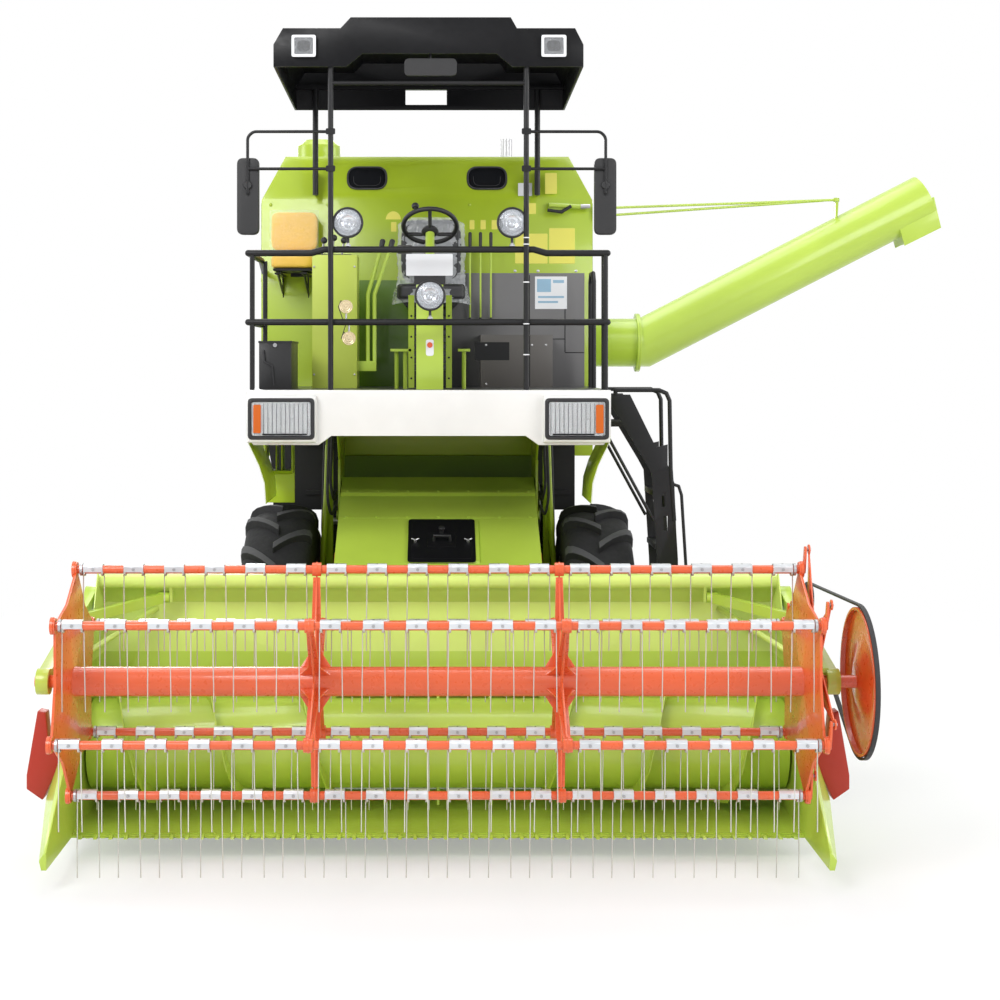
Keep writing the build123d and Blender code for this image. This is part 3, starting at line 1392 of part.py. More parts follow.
with BuildPart() as header_table:
    with BuildSketch(Plane.YZ.offset(-HEADER_X)) as trough:
        with BuildLine():
            trough_low = (AUGER_Y, AUGER_Z - TROUGH_R - END_T)
            trough_back = (AUGER_Y + TROUGH_R + END_T, AUGER_Z)
            mid = ring_points(AUGER_Y, AUGER_Z, -(TROUGH_R + END_T), [45])[0]
            mid_in = ring_points(AUGER_Y, AUGER_Z, -TROUGH_R, [45])[0]
            Polyline((GUARD_ROOT_Y + 4, trough_low[1]), trough_low)
            ThreePointArc(trough_low, mid, trough_back)
            Polyline(
                trough_back,
                (trough_back[0], WALL_TOP_Z),
                (trough_back[0] - END_T, WALL_TOP_Z),
                (trough_back[0] - END_T, AUGER_Z),
            )
            ThreePointArc((trough_back[0] - END_T, AUGER_Z), mid_in, (AUGER_Y, AUGER_Z - TROUGH_R))
            Polyline(
                (AUGER_Y, AUGER_Z - TROUGH_R),
                (GUARD_ROOT_Y + 4, AUGER_Z - TROUGH_R),
                (GUARD_ROOT_Y + 4, trough_low[1]),
            )
        make_face()
    extrude(trough.sketch, amount=2 * HEADER_X)
    for side in (-1, 1):
        end_low, end_high = sorted((side * HEADER_X, side * (HEADER_X + END_T)))
        side_profile(
            [
                (HEADER_BACK_Y, 107),
                (HEADER_BACK_Y, WALL_TOP_Z),
                (BEAM_Y - 60, BEAM_Z + 50),
                (BEAM_Y - 130, BEAM_Z - 60),
                (-1500, 760),
                (DIVIDER_REAR_Y, 640),
                (DIVIDER_TIP_Y, 190),
                (DIVIDER_TIP_Y, 107),
            ],
            end_low,
            end_high,
        )
    cross_bar(-HEADER_X, HEADER_X, BEAM_Y, BEAM_Z, BEAM_R)
    side_profile(
        [
            (BEAM_Y, BEAM_Z - BEAM_R + 2),
            (HEADER_BACK_Y - END_T, WALL_TOP_Z - 90),
            (HEADER_BACK_Y - END_T, WALL_TOP_Z),
            (BEAM_Y, BEAM_Z - BEAM_R + 12),
        ],
        -HEADER_X,
        HEADER_X,
    )
    for rib_x in (-1843, -1240, -620, 608, 1228, 1831):
        with BuildSketch(Plane.YZ.offset(rib_x)) as rib:
            with BuildLine():
                Polyline(
                    (AUGER_Y, 107),
                    (HEADER_BACK_Y, 107),
                    (HEADER_BACK_Y, AUGER_Z),
                    (AUGER_Y, AUGER_Z),
                    close=True,
                )
            make_face()
            with Locations((AUGER_Y, AUGER_Z)):
                Circle(TROUGH_R + 2, mode=Mode.SUBTRACT)
        extrude(rib.sketch, amount=12)
    block((-HEADER_X, HEADER_X), (HEADER_BACK_Y - 90, HEADER_BACK_Y), (107, 150))
    block((-MOUTH_HALF, MOUTH_HALF), (-1240, HEADER_BACK_Y + 1), MOUTH_Z, Mode.SUBTRACT)
    for side in (-1, 1):
        out = HEADER_X + END_T
        sections = []
        for section_y, points in (
            (DIVIDER_REAR_Y, [(0, 107), (54, 107), (128, 300), (40, 560), (0, 620)]),
            (DIVIDER_TIP_Y, [(0, 107), (20, 107), (30, 150), (12, 180), (0, 186)]),
        ):
            with BuildSketch(Plane.XZ.offset(-section_y)) as section:
                with BuildLine():
                    Polyline(*[(side * (out - 2 + x), z) for x, z in points], close=True)
                make_face()
            sections.append(section.sketch)
        loft(sections, ruled=True)
        cross_bar(side * HEADER_X, side * (ARM_X + ARM_W / 2 - 2), ARM_PIVOT_Y, ARM_PIVOT_Z, ARM_PIVOT_R)
        lug_low, lug_high = sorted((side * (BRACE_X - 47), side * (BRACE_X - 33)))
        side_profile(
            [
                (BEAM_Y - 30, BEAM_Z - 20),
                (BEAM_Y + 30, BEAM_Z - 20),
                (ARM_PIVOT_Y + 24, ARM_PIVOT_Z - 20),
                (ARM_PIVOT_Y - 24, ARM_PIVOT_Z - 20),
            ],
            lug_low,
            lug_high,
        )
        cross_bar(side * (BRACE_X - 40), side * (BRACE_X + 28), ARM_PIVOT_Y, ARM_PIVOT_Z, BRACE_PIN_R)
        bar(
            (side * 1550, HEADER_BACK_Y - END_T / 2, 1138),
            (side * (HEADER_X + END_T / 2), -1380, 965),
            16,
        )
        cross_bar(side * HEADER_X, side * (ARM_X + 32), *REEL_LIFT_BASE_PIN, REEL_PIN_R)
        cross_bar(side * HEADER_X, side * (ARM_X - 26), *REEL_LIFT_BASE_PIN, 30)
        cross_bar(
            side * (HEADER_X - 10), side * (HEADER_X + 60), AUGER_Y, AUGER_Z, 30 + PIN_GAP, Mode.SUBTRACT
        )
save(header_table, "header_table")


# Divider ears: bent wings above the divider noses
EAR = [
    (2015, 739),
    (EAR_X, 416),
    (EAR_X, 346),
    (1990, 290),
    (1900, 480),
    (1900, 520),
    (1960, 575),
    (1975, 730),
]

with BuildPart() as divider_ears:
    for side in (-1, 1):
        front_profile([(side * x, z) for x, z in EAR], DIVIDER_REAR_Y + 90, DIVIDER_REAR_Y)
save(divider_ears, "divider_ears")


# Cutter bar: back strip, guards and knife sections
KNIFE_Z = 113
KNIFE_T = 3
KNIFE_REACH = 52
KNIFE_TIP_W = 16
KNIFE_BACK_Y = GUARD_ROOT_Y + 10

with BuildPart() as cutter_bar:
    block((-HEADER_X, HEADER_X), (GUARD_ROOT_Y - 14, GUARD_ROOT_Y + 60), (105, HEADER_FLOOR_Z))
    for n in range(GUARD_COUNT):
        guard_x = (n - (GUARD_COUNT - 1) / 2) * GUARD_PITCH
        side_profile(
            [(GUARD_TIP_Y, 111), (GUARD_ROOT_Y, 104), (GUARD_ROOT_Y, 124), (GUARD_ROOT_Y - 30, 124)],
            guard_x - 9,
            guard_x + 9,
        )
    teeth = []
    for n in range(GUARD_COUNT - 1):
        section_x = (n - (GUARD_COUNT - 2) / 2) * GUARD_PITCH
        teeth.append((section_x - GUARD_PITCH / 2, GUARD_ROOT_Y - 5))
        teeth.append((section_x - KNIFE_TIP_W / 2, GUARD_ROOT_Y - KNIFE_REACH))
        teeth.append((section_x + KNIFE_TIP_W / 2, GUARD_ROOT_Y - KNIFE_REACH))
    knife_x = (GUARD_COUNT - 1) / 2 * GUARD_PITCH
    with BuildSketch(Plane.XY.offset(KNIFE_Z)) as knife:
        with BuildLine():
            Polyline(
                *teeth,
                (knife_x, GUARD_ROOT_Y - 5),
                (knife_x, KNIFE_BACK_Y),
                (-knife_x, KNIFE_BACK_Y),
                close=True,
            )
        make_face()
    extrude(knife.sketch, amount=KNIFE_T)
save(cutter_bar, "cutter_bar")


# Header auger: drum with a left-hand and a right-hand flight toward the middle, and finger rows
FLIGHT_PITCH = 480
FLIGHT_T = 6
FLIGHT_STEPS = 9
FLIGHT_INNER_X = 560
AUGER_END_X = HEADER_X - 12
FINGER_ROWS = [(-420, 20), (-280, 110), (-140, 200), (0, 290), (140, 20), (280, 110), (420, 200)]


def flight(side):
    """Ruled helical flight, from the end of the drum to the middle."""
    turns = (AUGER_END_X - FLIGHT_INNER_X) / FLIGHT_PITCH
    count = round(turns * FLIGHT_STEPS)
    sections = []
    for n in range(count + 1):
        angle = 360 * turns * n / count
        x = side * (AUGER_END_X - (AUGER_END_X - FLIGHT_INNER_X) * n / count)
        outward = (0, cos(radians(angle)), sin(radians(angle)))
        with BuildSketch(
            Plane(origin=(x, AUGER_Y, AUGER_Z), x_dir=outward, z_dir=Vector(1, 0, 0).cross(Vector(*outward)))
        ) as section:
            with Locations(((AUGER_DRUM_R - 4 + AUGER_FLIGHT_R) / 2, 0)):
                Rectangle(AUGER_FLIGHT_R - AUGER_DRUM_R + 4, FLIGHT_T)
        sections.append(section.sketch)
    return loft(sections, ruled=True, mode=Mode.PRIVATE)


with BuildPart() as auger:
    cross_bar(-AUGER_END_X, AUGER_END_X, AUGER_Y, AUGER_Z, AUGER_DRUM_R)
    for side in (-1, 1):
        add(flight(side))
        cross_bar(side * AUGER_END_X, side * (HEADER_X + END_T + 30), AUGER_Y, AUGER_Z, 30)
    for finger_x, angle in FINGER_ROWS:
        for turn in (angle, angle + 180):
            tip = ring_points(AUGER_Y, AUGER_Z, AUGER_FLIGHT_R - 5, [turn])[0]
            foot = ring_points(AUGER_Y, AUGER_Z, AUGER_DRUM_R - 10, [turn])[0]
            bar((finger_x, *foot), (finger_x, *tip), 8)
save(auger, "auger")


# Reel arms: pivots and arms outside the end sheets, bearing bosses, cross tube, guide discs
ARM_IN_X = ARM_X - ARM_W / 2
REEL_SHAFT_END_X = PULLEY_X + BELT_W / 2 + 10
GUIDE_X = 1784
GUIDE_T = 10
GUIDE_CENTRE = (REEL_Y + GUIDE_DY, REEL_Z + GUIDE_DZ)
ARM_LUG_T = 9
BRACE_SHARE = 0.27
BRACE_H = 52
BRACE_W = 42

with BuildPart() as reel_arms:
    along = Vector(0, REEL_Y - ARM_PIVOT_Y, REEL_Z - ARM_PIVOT_Z)
    for side in (-1, 1):
        with BuildSketch(
            Plane(origin=(side * ARM_X, ARM_PIVOT_Y, ARM_PIVOT_Z), x_dir=(side, 0, 0), z_dir=along)
        ) as arm_section:
            Rectangle(ARM_W, ARM_H)
        extrude(arm_section.sketch, amount=along.length)
        for y, z in ((ARM_PIVOT_Y, ARM_PIVOT_Z), (REEL_Y, REEL_Z)):
            cross_bar(side * ARM_IN_X, side * (ARM_IN_X + ARM_W), y, z, 62)
        pin_y, pin_z = REEL_LIFT_ARM_PIN
        for lug_x in (side * ARM_X - ARM_W / 2, side * ARM_X + ARM_W / 2 - ARM_LUG_T):
            side_profile(
                [
                    (pin_y - 25, pin_z - 20),
                    (pin_y + 25, pin_z - 20),
                    (pin_y + 60, pin_z + 90),
                    (pin_y - 60, pin_z + 80),
                ],
                lug_x,
                lug_x + ARM_LUG_T,
            )
        cross_bar(side * (ARM_X - 34), side * (ARM_X + 34), pin_y, pin_z, REEL_PIN_R)
        cross_bar(side * (BRACE_X - 30), side * (BRACE_X + 30), ARM_PIVOT_Y, ARM_PIVOT_Z, BRACE_PIN_R + 12)
        brace_end = Vector(side * (ARM_IN_X + 5), ARM_PIVOT_Y, ARM_PIVOT_Z) + along * BRACE_SHARE
        brace_start = Vector(side * BRACE_X, ARM_PIVOT_Y, ARM_PIVOT_Z)
        brace_line = (brace_end - brace_start).normalized()
        with BuildSketch(
            Plane(origin=brace_start + brace_line * 20, x_dir=(0, 0, 1), z_dir=brace_line)
        ) as brace_section:
            Rectangle(BRACE_H, BRACE_W)
        extrude(brace_section.sketch, amount=(brace_end - brace_start).length - 20)
    cross_bar(GUIDE_X - 1, GUIDE_X + GUIDE_T + 2, *GUIDE_CENTRE, GUIDE_DISC_R)
    for stub_y, stub_z in ((REEL_Y + 69, REEL_Z + 14), (REEL_Y - 8, REEL_Z + 53)):
        cross_bar(GUIDE_X + GUIDE_T, ARM_IN_X + 10, stub_y, stub_z, 14)
    for side in (-1, 1):
        for bore_x, bore_y, bore_z, bore_r in (
            (ARM_X, ARM_PIVOT_Y, ARM_PIVOT_Z, ARM_PIVOT_R),
            (ARM_X, REEL_Y, REEL_Z, REEL_SHAFT_R),
            (BRACE_X, ARM_PIVOT_Y, ARM_PIVOT_Z, BRACE_PIN_R),
        ):
            cross_bar(
                side * (bore_x - ARM_W / 2 - 5),
                side * (bore_x + ARM_W / 2 + 5),
                bore_y,
                bore_z,
                bore_r + PIN_GAP,
                Mode.SUBTRACT,
            )
    cross_bar(GUIDE_X - 5, GUIDE_X + GUIDE_T + 8, REEL_Y, REEL_Z, REEL_SHAFT_R + 5, Mode.SUBTRACT)
save(reel_arms, "reel_arms")


# Reel: centre tube, hexagonal end plates, two star spiders, shaft and belt pulley
HUB_R = 120
EYE_R = 36
END_PLATE_WAIST = 420
SPIDER_WAIST = 150
GUSSET_HALF = 75


def star(x_from, x_to, waist):
    """Six-pointed plate with an eye at each bat, in the side view."""
    outline = []
    for angle in BAT_ANGLES:
        outline += ring_points(REEL_Y, REEL_Z, BAT_CIRCLE_R, [angle])
        outline += ring_points(REEL_Y, REEL_Z, waist, [angle + 180 / BAT_COUNT])
    with BuildSketch(Plane.YZ.offset(x_from)) as plate:
        with BuildLine():
            Polyline(*outline, close=True)
        make_face()
        with Locations((REEL_Y, REEL_Z)):
            Circle(HUB_R)
        with Locations(*BAT_PLACES):
            Circle(EYE_R)
        with Locations(*BAT_PLACES):
            Circle(BAT_R + PIN_GAP, mode=Mode.SUBTRACT)
    extrude(plate.sketch, amount=x_to - x_from)


with BuildPart() as reel:
    cross_bar(-BAT_HALF + PLATE_T + 2, BAT_HALF - PLATE_T - 2, REEL_Y, REEL_Z, REEL_TUBE_R)
    cross_bar(-ARM_IN_X - ARM_W - 10, REEL_SHAFT_END_X, REEL_Y, REEL_Z, REEL_SHAFT_R)
    for side in (-1, 1):
        star(side * (BAT_HALF - PLATE_T - 2), side * (BAT_HALF - 2), END_PLATE_WAIST)
        star(side * (SPIDER_X - 4), side * (SPIDER_X + 4), SPIDER_WAIST)
        for angle in BAT_ANGLES:
            gusset = Plane(
                origin=(side * SPIDER_X, REEL_Y, REEL_Z),
                x_dir=(0, -cos(radians(angle)), sin(radians(angle))),
                z_dir=Vector(1, 0, 0).cross(Vector(0, -cos(radians(angle)), sin(radians(angle)))),
            )
            with BuildSketch(gusset) as rib:
                with BuildLine():
                    Polyline(
                        (REEL_TUBE_R - 4, -GUSSET_HALF),
                        (REEL_TUBE_R - 4, GUSSET_HALF),
                        (HUB_R + 60, 0),
                        close=True,
                    )
                make_face()
            extrude(rib.sketch, amount=3, both=True)
    with BuildSketch(Plane(origin=(0, REEL_Y, REEL_Z), x_dir=(1, 0, 0), z_dir=(0, -1, 0))) as pulley:
        with BuildLine():
            Polyline(
                (PULLEY_X - 20, 0),
                (PULLEY_X - 20, 80),
                (PULLEY_X + 12, 200),
                (PULLEY_X + 8, PULLEY_R - 30),
                (PULLEY_X - BELT_W / 2, PULLEY_R - 30),
                (PULLEY_X - BELT_W / 2, PULLEY_R - 16),
                (PULLEY_X + BELT_W / 2, PULLEY_R - 16),
                (PULLEY_X + BELT_W / 2, PULLEY_R - 38),
                (PULLEY_X + 18, 200),
                (PULLEY_X + 12, 70),
                (PULLEY_X + 20, 60),
                (PULLEY_X + 20, 0),
                close=True,
            )
        make_face()
    revolve(pulley.sketch, axis=Axis((0, REEL_Y, REEL_Z), (1, 0, 0)))
save(reel, "reel")


# Reel belt: open belt from the reel pulley up to the drive pulley at the arm pivot
belt_small = (ARM_PIVOT_Y, ARM_PIVOT_Z, DRIVE_PULLEY_R)
belt_large = (REEL_Y, REEL_Z, PULLEY_R)
with BuildPart() as reel_belt:
    extrude(belt_loop(belt_small, belt_large, PULLEY_X - 11, 0), amount=22)
    extrude(belt_loop(belt_small, belt_large, PULLEY_X - 11, BELT_T), amount=22, mode=Mode.SUBTRACT)
    cross_bar(PULLEY_X - BELT_W / 2, PULLEY_X + BELT_W / 2, ARM_PIVOT_Y, ARM_PIVOT_Z, DRIVE_PULLEY_R - 8)
    cross_bar(PULLEY_X - 11, PULLEY_X + 11, ARM_PIVOT_Y, ARM_PIVOT_Z, DRIVE_PULLEY_R - 2)
    cross_bar(ARM_IN_X + ARM_W, PULLEY_X - BELT_W / 2, ARM_PIVOT_Y, ARM_PIVOT_Z, 26)
save(reel_belt, "reel_belt")


# Tine bats: tube, clamps and tines that hang down, with a crank and pin for the guide star
CRANK_X = 1766
CRANK_T = 10
CLAMP_H = 40
CLAMP_D = 46
TINE_SPREAD = 87

with BuildPart() as bat:
    cross_bar(-BAT_HALF, BAT_HALF, 0, 0, BAT_R)
    cross_bar(BAT_HALF, CRANK_X + CRANK_T, 0, 0, BAT_R - 5)
    for n in range(CLAMP_COUNT):
        clamp_x = (n - (CLAMP_COUNT - 1) / 2) * CLAMP_PITCH
        block(
            (clamp_x - CLAMP_W / 2, clamp_x + CLAMP_W / 2),
            (-CLAMP_D / 2, CLAMP_D / 2),
            (-CLAMP_H / 2, CLAMP_H / 2 + 6),
        )
        for tine_side in (-1, 1):
            tine_x = clamp_x + tine_side * TINE_SPREAD / 2
            block((tine_x - TINE_R, tine_x + TINE_R), (-TINE_R, TINE_R), (-TINE_LENGTH, 0))
    with BuildSketch(Plane.YZ.offset(CRANK_X)) as crank:
        with Locations((0, 0), (GUIDE_DY, GUIDE_DZ)):
            Circle(22)
        with BuildLine():
            Polyline(
                (-20, -6), (20, 6), (GUIDE_DY + 16, GUIDE_DZ + 4), (GUIDE_DY - 16, GUIDE_DZ - 4), close=True
            )
        make_face()
    extrude(crank.sketch, amount=CRANK_T)
    cross_bar(CRANK_X + 5, GUIDE_X + GUIDE_T + 4, GUIDE_DY, GUIDE_DZ, CRANK_PIN_R)
for n, (bat_y, bat_z) in enumerate(BAT_PLACES):
    with BuildPart() as placed:
        add(bat.part.moved(Location((0, bat_y, bat_z))))
    save(placed, f"reel_bat_{n + 1}")


# Guide star: ring on the disc of the right arm, with thin links to the six crank pins
with BuildPart() as reel_guide:
    with BuildSketch(Plane.YZ.offset(GUIDE_X)) as guide:
        tips = ring_points(*GUIDE_CENTRE, BAT_CIRCLE_R, BAT_ANGLES)
        outline = []
        for angle in BAT_ANGLES:
            outline += ring_points(*GUIDE_CENTRE, BAT_CIRCLE_R, [angle])
            outline += ring_points(*GUIDE_CENTRE, 170, [angle + 180 / BAT_COUNT])
        with BuildLine():
            Polyline(*outline, close=True)
        make_face()
        with Locations(GUIDE_CENTRE):
            Circle(GUIDE_DISC_R + 30)
        with Locations(*tips):
            Circle(24)
        with Locations(*tips):
            Circle(CRANK_PIN_R + PIN_GAP, mode=Mode.SUBTRACT)
        with Locations(GUIDE_CENTRE):
            Circle(GUIDE_DISC_R + PIN_GAP, mode=Mode.SUBTRACT)
    extrude(guide.sketch, amount=GUIDE_T - 2)
save(reel_guide, "reel_guide")


# Lift cylinders: barrel on its base pin, rod with an eye that is larger than its pin
NECK = 90


def cylinder(base, tip, lift_x, barrel_r, rod_r, eye_w, base_r, tip_r, barrel_share):
    """Barrel and rod parts along the line from the base pin to the tip pin, on both sides."""
    y0, z0 = base
    y1, z1 = tip
    reach = hypot(y1 - y0, z1 - z0)

    def at(distance):
        return (y0 + (y1 - y0) * distance / reach, z0 + (z1 - z0) * distance / reach)

    mouth = reach * barrel_share
    with BuildPart() as barrels:
        for side in (-1, 1):
            x = side * lift_x
            bar((x, *at(NECK)), (x, *at(mouth)), barrel_r)
            cross_bar(x - eye_w / 2, x + eye_w / 2, y0, z0, base_r + 14)
            bar((x, *at(base_r + 4)), (x, *at(NECK + 5)), min(eye_w / 2 - 2, barrel_r - 2))
        for side in (-1, 1):
            x = side * lift_x
            cross_bar(x - eye_w, x + eye_w, y0, z0, base_r + PIN_GAP, Mode.SUBTRACT)
            bar((x, *at(NECK + 15)), (x, *at(mouth + 5)), rod_r + PIN_GAP, Mode.SUBTRACT)
    with BuildPart() as rods:
        for side in (-1, 1):
            x = side * lift_x
            bar((x, *at(reach * 0.25)), (x, *at(reach - tip_r - 6)), rod_r)
            cross_bar(x - eye_w / 2, x + eye_w / 2, y1, z1, tip_r + 14)
        for side in (-1, 1):
            x = side * lift_x
            cross_bar(x - eye_w, x + eye_w, y1, z1, tip_r, Mode.SUBTRACT)
    return barrels, rods


header_barrels, header_rods = cylinder(
    LIFT_FRAME_PIN, LIFT_HEADER_PIN, LIFT_X, 38, 22, LIFT_EYE_W, LIFT_PIN_R, LIFT_PIN_R + 9, 0.72
)
save(header_barrels, "header_lift_barrels")
save(header_rods, "header_lift_rods")

reel_barrels, reel_rods = cylinder(
    REEL_LIFT_BASE_PIN, REEL_LIFT_ARM_PIN, ARM_X, 24, 13, 38, REEL_PIN_R, REEL_PIN_R + 8, 0.68
)
save(reel_barrels, "reel_lift_barrels")
save(reel_rods, "reel_lift_rods")
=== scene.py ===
from math import asin, atan2, cos, hypot, pi, radians, sin, tan

import bmesh
import bpy
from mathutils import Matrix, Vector, noise


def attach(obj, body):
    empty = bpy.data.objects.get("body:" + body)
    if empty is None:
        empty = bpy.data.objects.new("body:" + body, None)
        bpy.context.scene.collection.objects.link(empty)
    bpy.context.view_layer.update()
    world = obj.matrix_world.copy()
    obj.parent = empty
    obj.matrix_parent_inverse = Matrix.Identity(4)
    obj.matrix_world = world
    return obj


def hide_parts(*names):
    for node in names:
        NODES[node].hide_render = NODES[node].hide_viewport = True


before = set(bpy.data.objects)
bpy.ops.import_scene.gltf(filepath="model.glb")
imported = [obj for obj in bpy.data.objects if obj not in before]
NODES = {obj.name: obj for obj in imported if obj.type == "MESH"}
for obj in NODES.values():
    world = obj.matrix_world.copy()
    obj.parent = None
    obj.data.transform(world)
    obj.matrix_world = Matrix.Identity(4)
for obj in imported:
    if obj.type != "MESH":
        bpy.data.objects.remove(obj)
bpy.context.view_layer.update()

# Lengths are in mm in the machine frame: X to the machine's left, Y to its rear from the front axle,
# Z up. The row frame is this, moved by ORIGIN and in metres.
ORIGIN = (593.5, 992.5, 0)
X, Y, Z = Vector((1, 0, 0)), Vector((0, 1, 0)), Vector((0, 0, 1))

# Sizes repeated from the CAD source
REEL_Y, REEL_Z = -2300, 963
BAT_CIRCLE_R = 534
BAT_ANGLES = [38 + 60 * n for n in range(6)]
BAT_HALF = 1757
BAT_R = 21
CLAMP_PITCH = 196
CLAMP_COUNT = 18
CLAMP_W = 94
TINE_SPREAD = 87
TINE_LENGTH = 400
GUIDE_DY, GUIDE_DZ = -30, 100
CRANK_X = 1766
SPIDER_X = 586
RAIL_Y = -980
RAIL_TOP_Z, RAIL_MID_Z, RAIL_R = 3117, 2715, 18
POST_Y = -1014
POST_XS = (-592, 487)
FLOOR_FRONT_Y, FLOOR_Z = -1030, 2345
FASCIA_Y = -1085
COLUMN_X = -46
WHEEL_CENTRE = (COLUMN_X, -550, 3280)
WHEEL_TILT = 35
FRONT_TRACK_X, FRONT_R = 944, 815
REAR_TRACK_X, REAR_AXLE_Y, REAR_R = 820, 3300, 430
TANK_FRONT_Y = 450
TANK_SIDES = {-1: -1117, 1: 977}
BODY_HALF = 600
HOOD_REAR_Y = 4880
SCREEN_X, SCREEN_Y, SCREEN_Z = -650, 2850, 2350
FEEDER_Y, FEEDER_Z = -1009, 1270
FEEDER_SLOPE = 520 / 1069

# Sizes of pieces that only the scene has
STEERING_R, STEERING_RIM_R = 154, 13.5
BAND_R = 17.5
SPLIT_PULLEY = (276, 1560)
LUG_COUNT, LUG_SLANT = 32, 40
HEADLAMP_Z = 2183
ROOF_LAMP_Y, ROOF_LAMP_Z = -1045, 4228
MIRROR_Z = 3410
WINDOW_Z = 3665
TAIL_LAMP_X = 470
CAMERA_SPOT = (0, -10880, 2500)
CAMERA_LENS, CAMERA_SHIFT = 64.4, (0.062, -0.139)


# Paints: colour, roughness, metal, coat, grain scale and grain strength
def link(tree, value, socket):
    """Feed a socket with another socket, a colour or a number."""
    if isinstance(value, (tuple, list)):
        socket.default_value = (*value, 1)
    elif isinstance(value, (int, float)):
        socket.default_value = value
    else:
        tree.links.new(value, socket)


def mixed(tree, factor, first, second):
    """Colour mix whose factor is a socket."""
    mix = tree.nodes.new("ShaderNodeMix")
    mix.data_type = "RGBA"
    for key, value in (("Factor", factor), (6, first), (7, second)):
        link(tree, value, mix.inputs[key])
    return mix.outputs[2]


def noise_node(tree, coordinates, scale, detail=3.0):
    node = tree.nodes.new("ShaderNodeTexNoise")
    for name, value in (("Scale", scale), ("Detail", detail), ("Roughness", 0.5), ("Vector", coordinates)):
        link(tree, value, node.inputs[name])
    return node.outputs["Fac"]


def ranged(tree, value, low, high, from_low=0.3, from_high=0.7):
    node = tree.nodes.new("ShaderNodeMapRange")
    for name, given in (("From Min", from_low), ("From Max", from_high), ("To Min", low), ("To Max", high),
                        ("Value", value)):
        link(tree, given, node.inputs[name])
    return node.outputs["Result"]


def calc(tree, kind, first, second):
    node = tree.nodes.new("ShaderNodeMath")
    node.operation = kind
    for socket, value in zip(node.inputs, (first, second)):
        link(tree, value, socket)
    return node.outputs[0]


def paint(name, colour, rough, metal=0.0, coat=0.0, grain=(260, 0.03), vary=0.07, zones=(), **sockets):
    """Procedural finish: slow colour change, uneven gloss and a fine grain, with boxes of other colours."""
    material = bpy.data.materials.new(name)
    material.use_nodes = True
    tree = material.node_tree
    shader = tree.nodes["Principled BSDF"]
    place = tree.nodes.new("ShaderNodeTexCoord").outputs["Object"]
    slow = noise_node(tree, place, 2.2, 4.0)

    def toned(base):
        dark, light = (tuple(min(1.0, c * share) for c in base) for share in (1 - vary, 1 + vary))
        return mixed(tree, ranged(tree, slow, 0, 1), dark, light)

    tone = toned(colour)
    for spans, zone_colour in zones:
        split = tree.nodes.new("ShaderNodeSeparateXYZ")
        link(tree, place, split.inputs[0])
        inside = 1.0
        for axis, (low, high) in spans.items():
            socket, centre = split.outputs["xyz".index(axis)], ORIGIN["xyz".index(axis)]
            over = calc(tree, "GREATER_THAN", socket, (low - centre) / 1000)
            under = calc(tree, "LESS_THAN", socket, (high - centre) / 1000)
            inside = calc(tree, "MULTIPLY", calc(tree, "MULTIPLY", over, under), inside)
        tone = mixed(tree, inside, tone, toned(zone_colour))
    uneven = ranged(tree, noise_node(tree, place, 38), max(0.02, rough - 0.05), rough + 0.07)
    values = {"Base Color": tone, "Roughness": uneven, "Metallic": metal, "Coat Weight": coat,
              "Coat Roughness": 0.08}
    values.update({socket.replace("_", " "): value for socket, value in sockets.items()})
    if grain:
        bump = tree.nodes.new("ShaderNodeBump")
        link(tree, grain[1], bump.inputs["Strength"])
        link(tree, 0.01, bump.inputs["Distance"])
        link(tree, noise_node(tree, place, grain[0], 2.0), bump.inputs["Height"])
        values["Normal"] = bump.outputs["Normal"]
    for socket, value in values.items():
        link(tree, value, shader.inputs[socket])
    return material


LIME = (0.39, 0.53, 0.02)
# Painted light: a lighter copy of the lime green, for parts where more light falls
LIT_LIME = (0.46, 0.62, 0.07)
BLACK = (0.011, 0.011, 0.012)
GREY = (0.165, 0.162, 0.162)
FILM = (0.85, 0.88, 0.9)

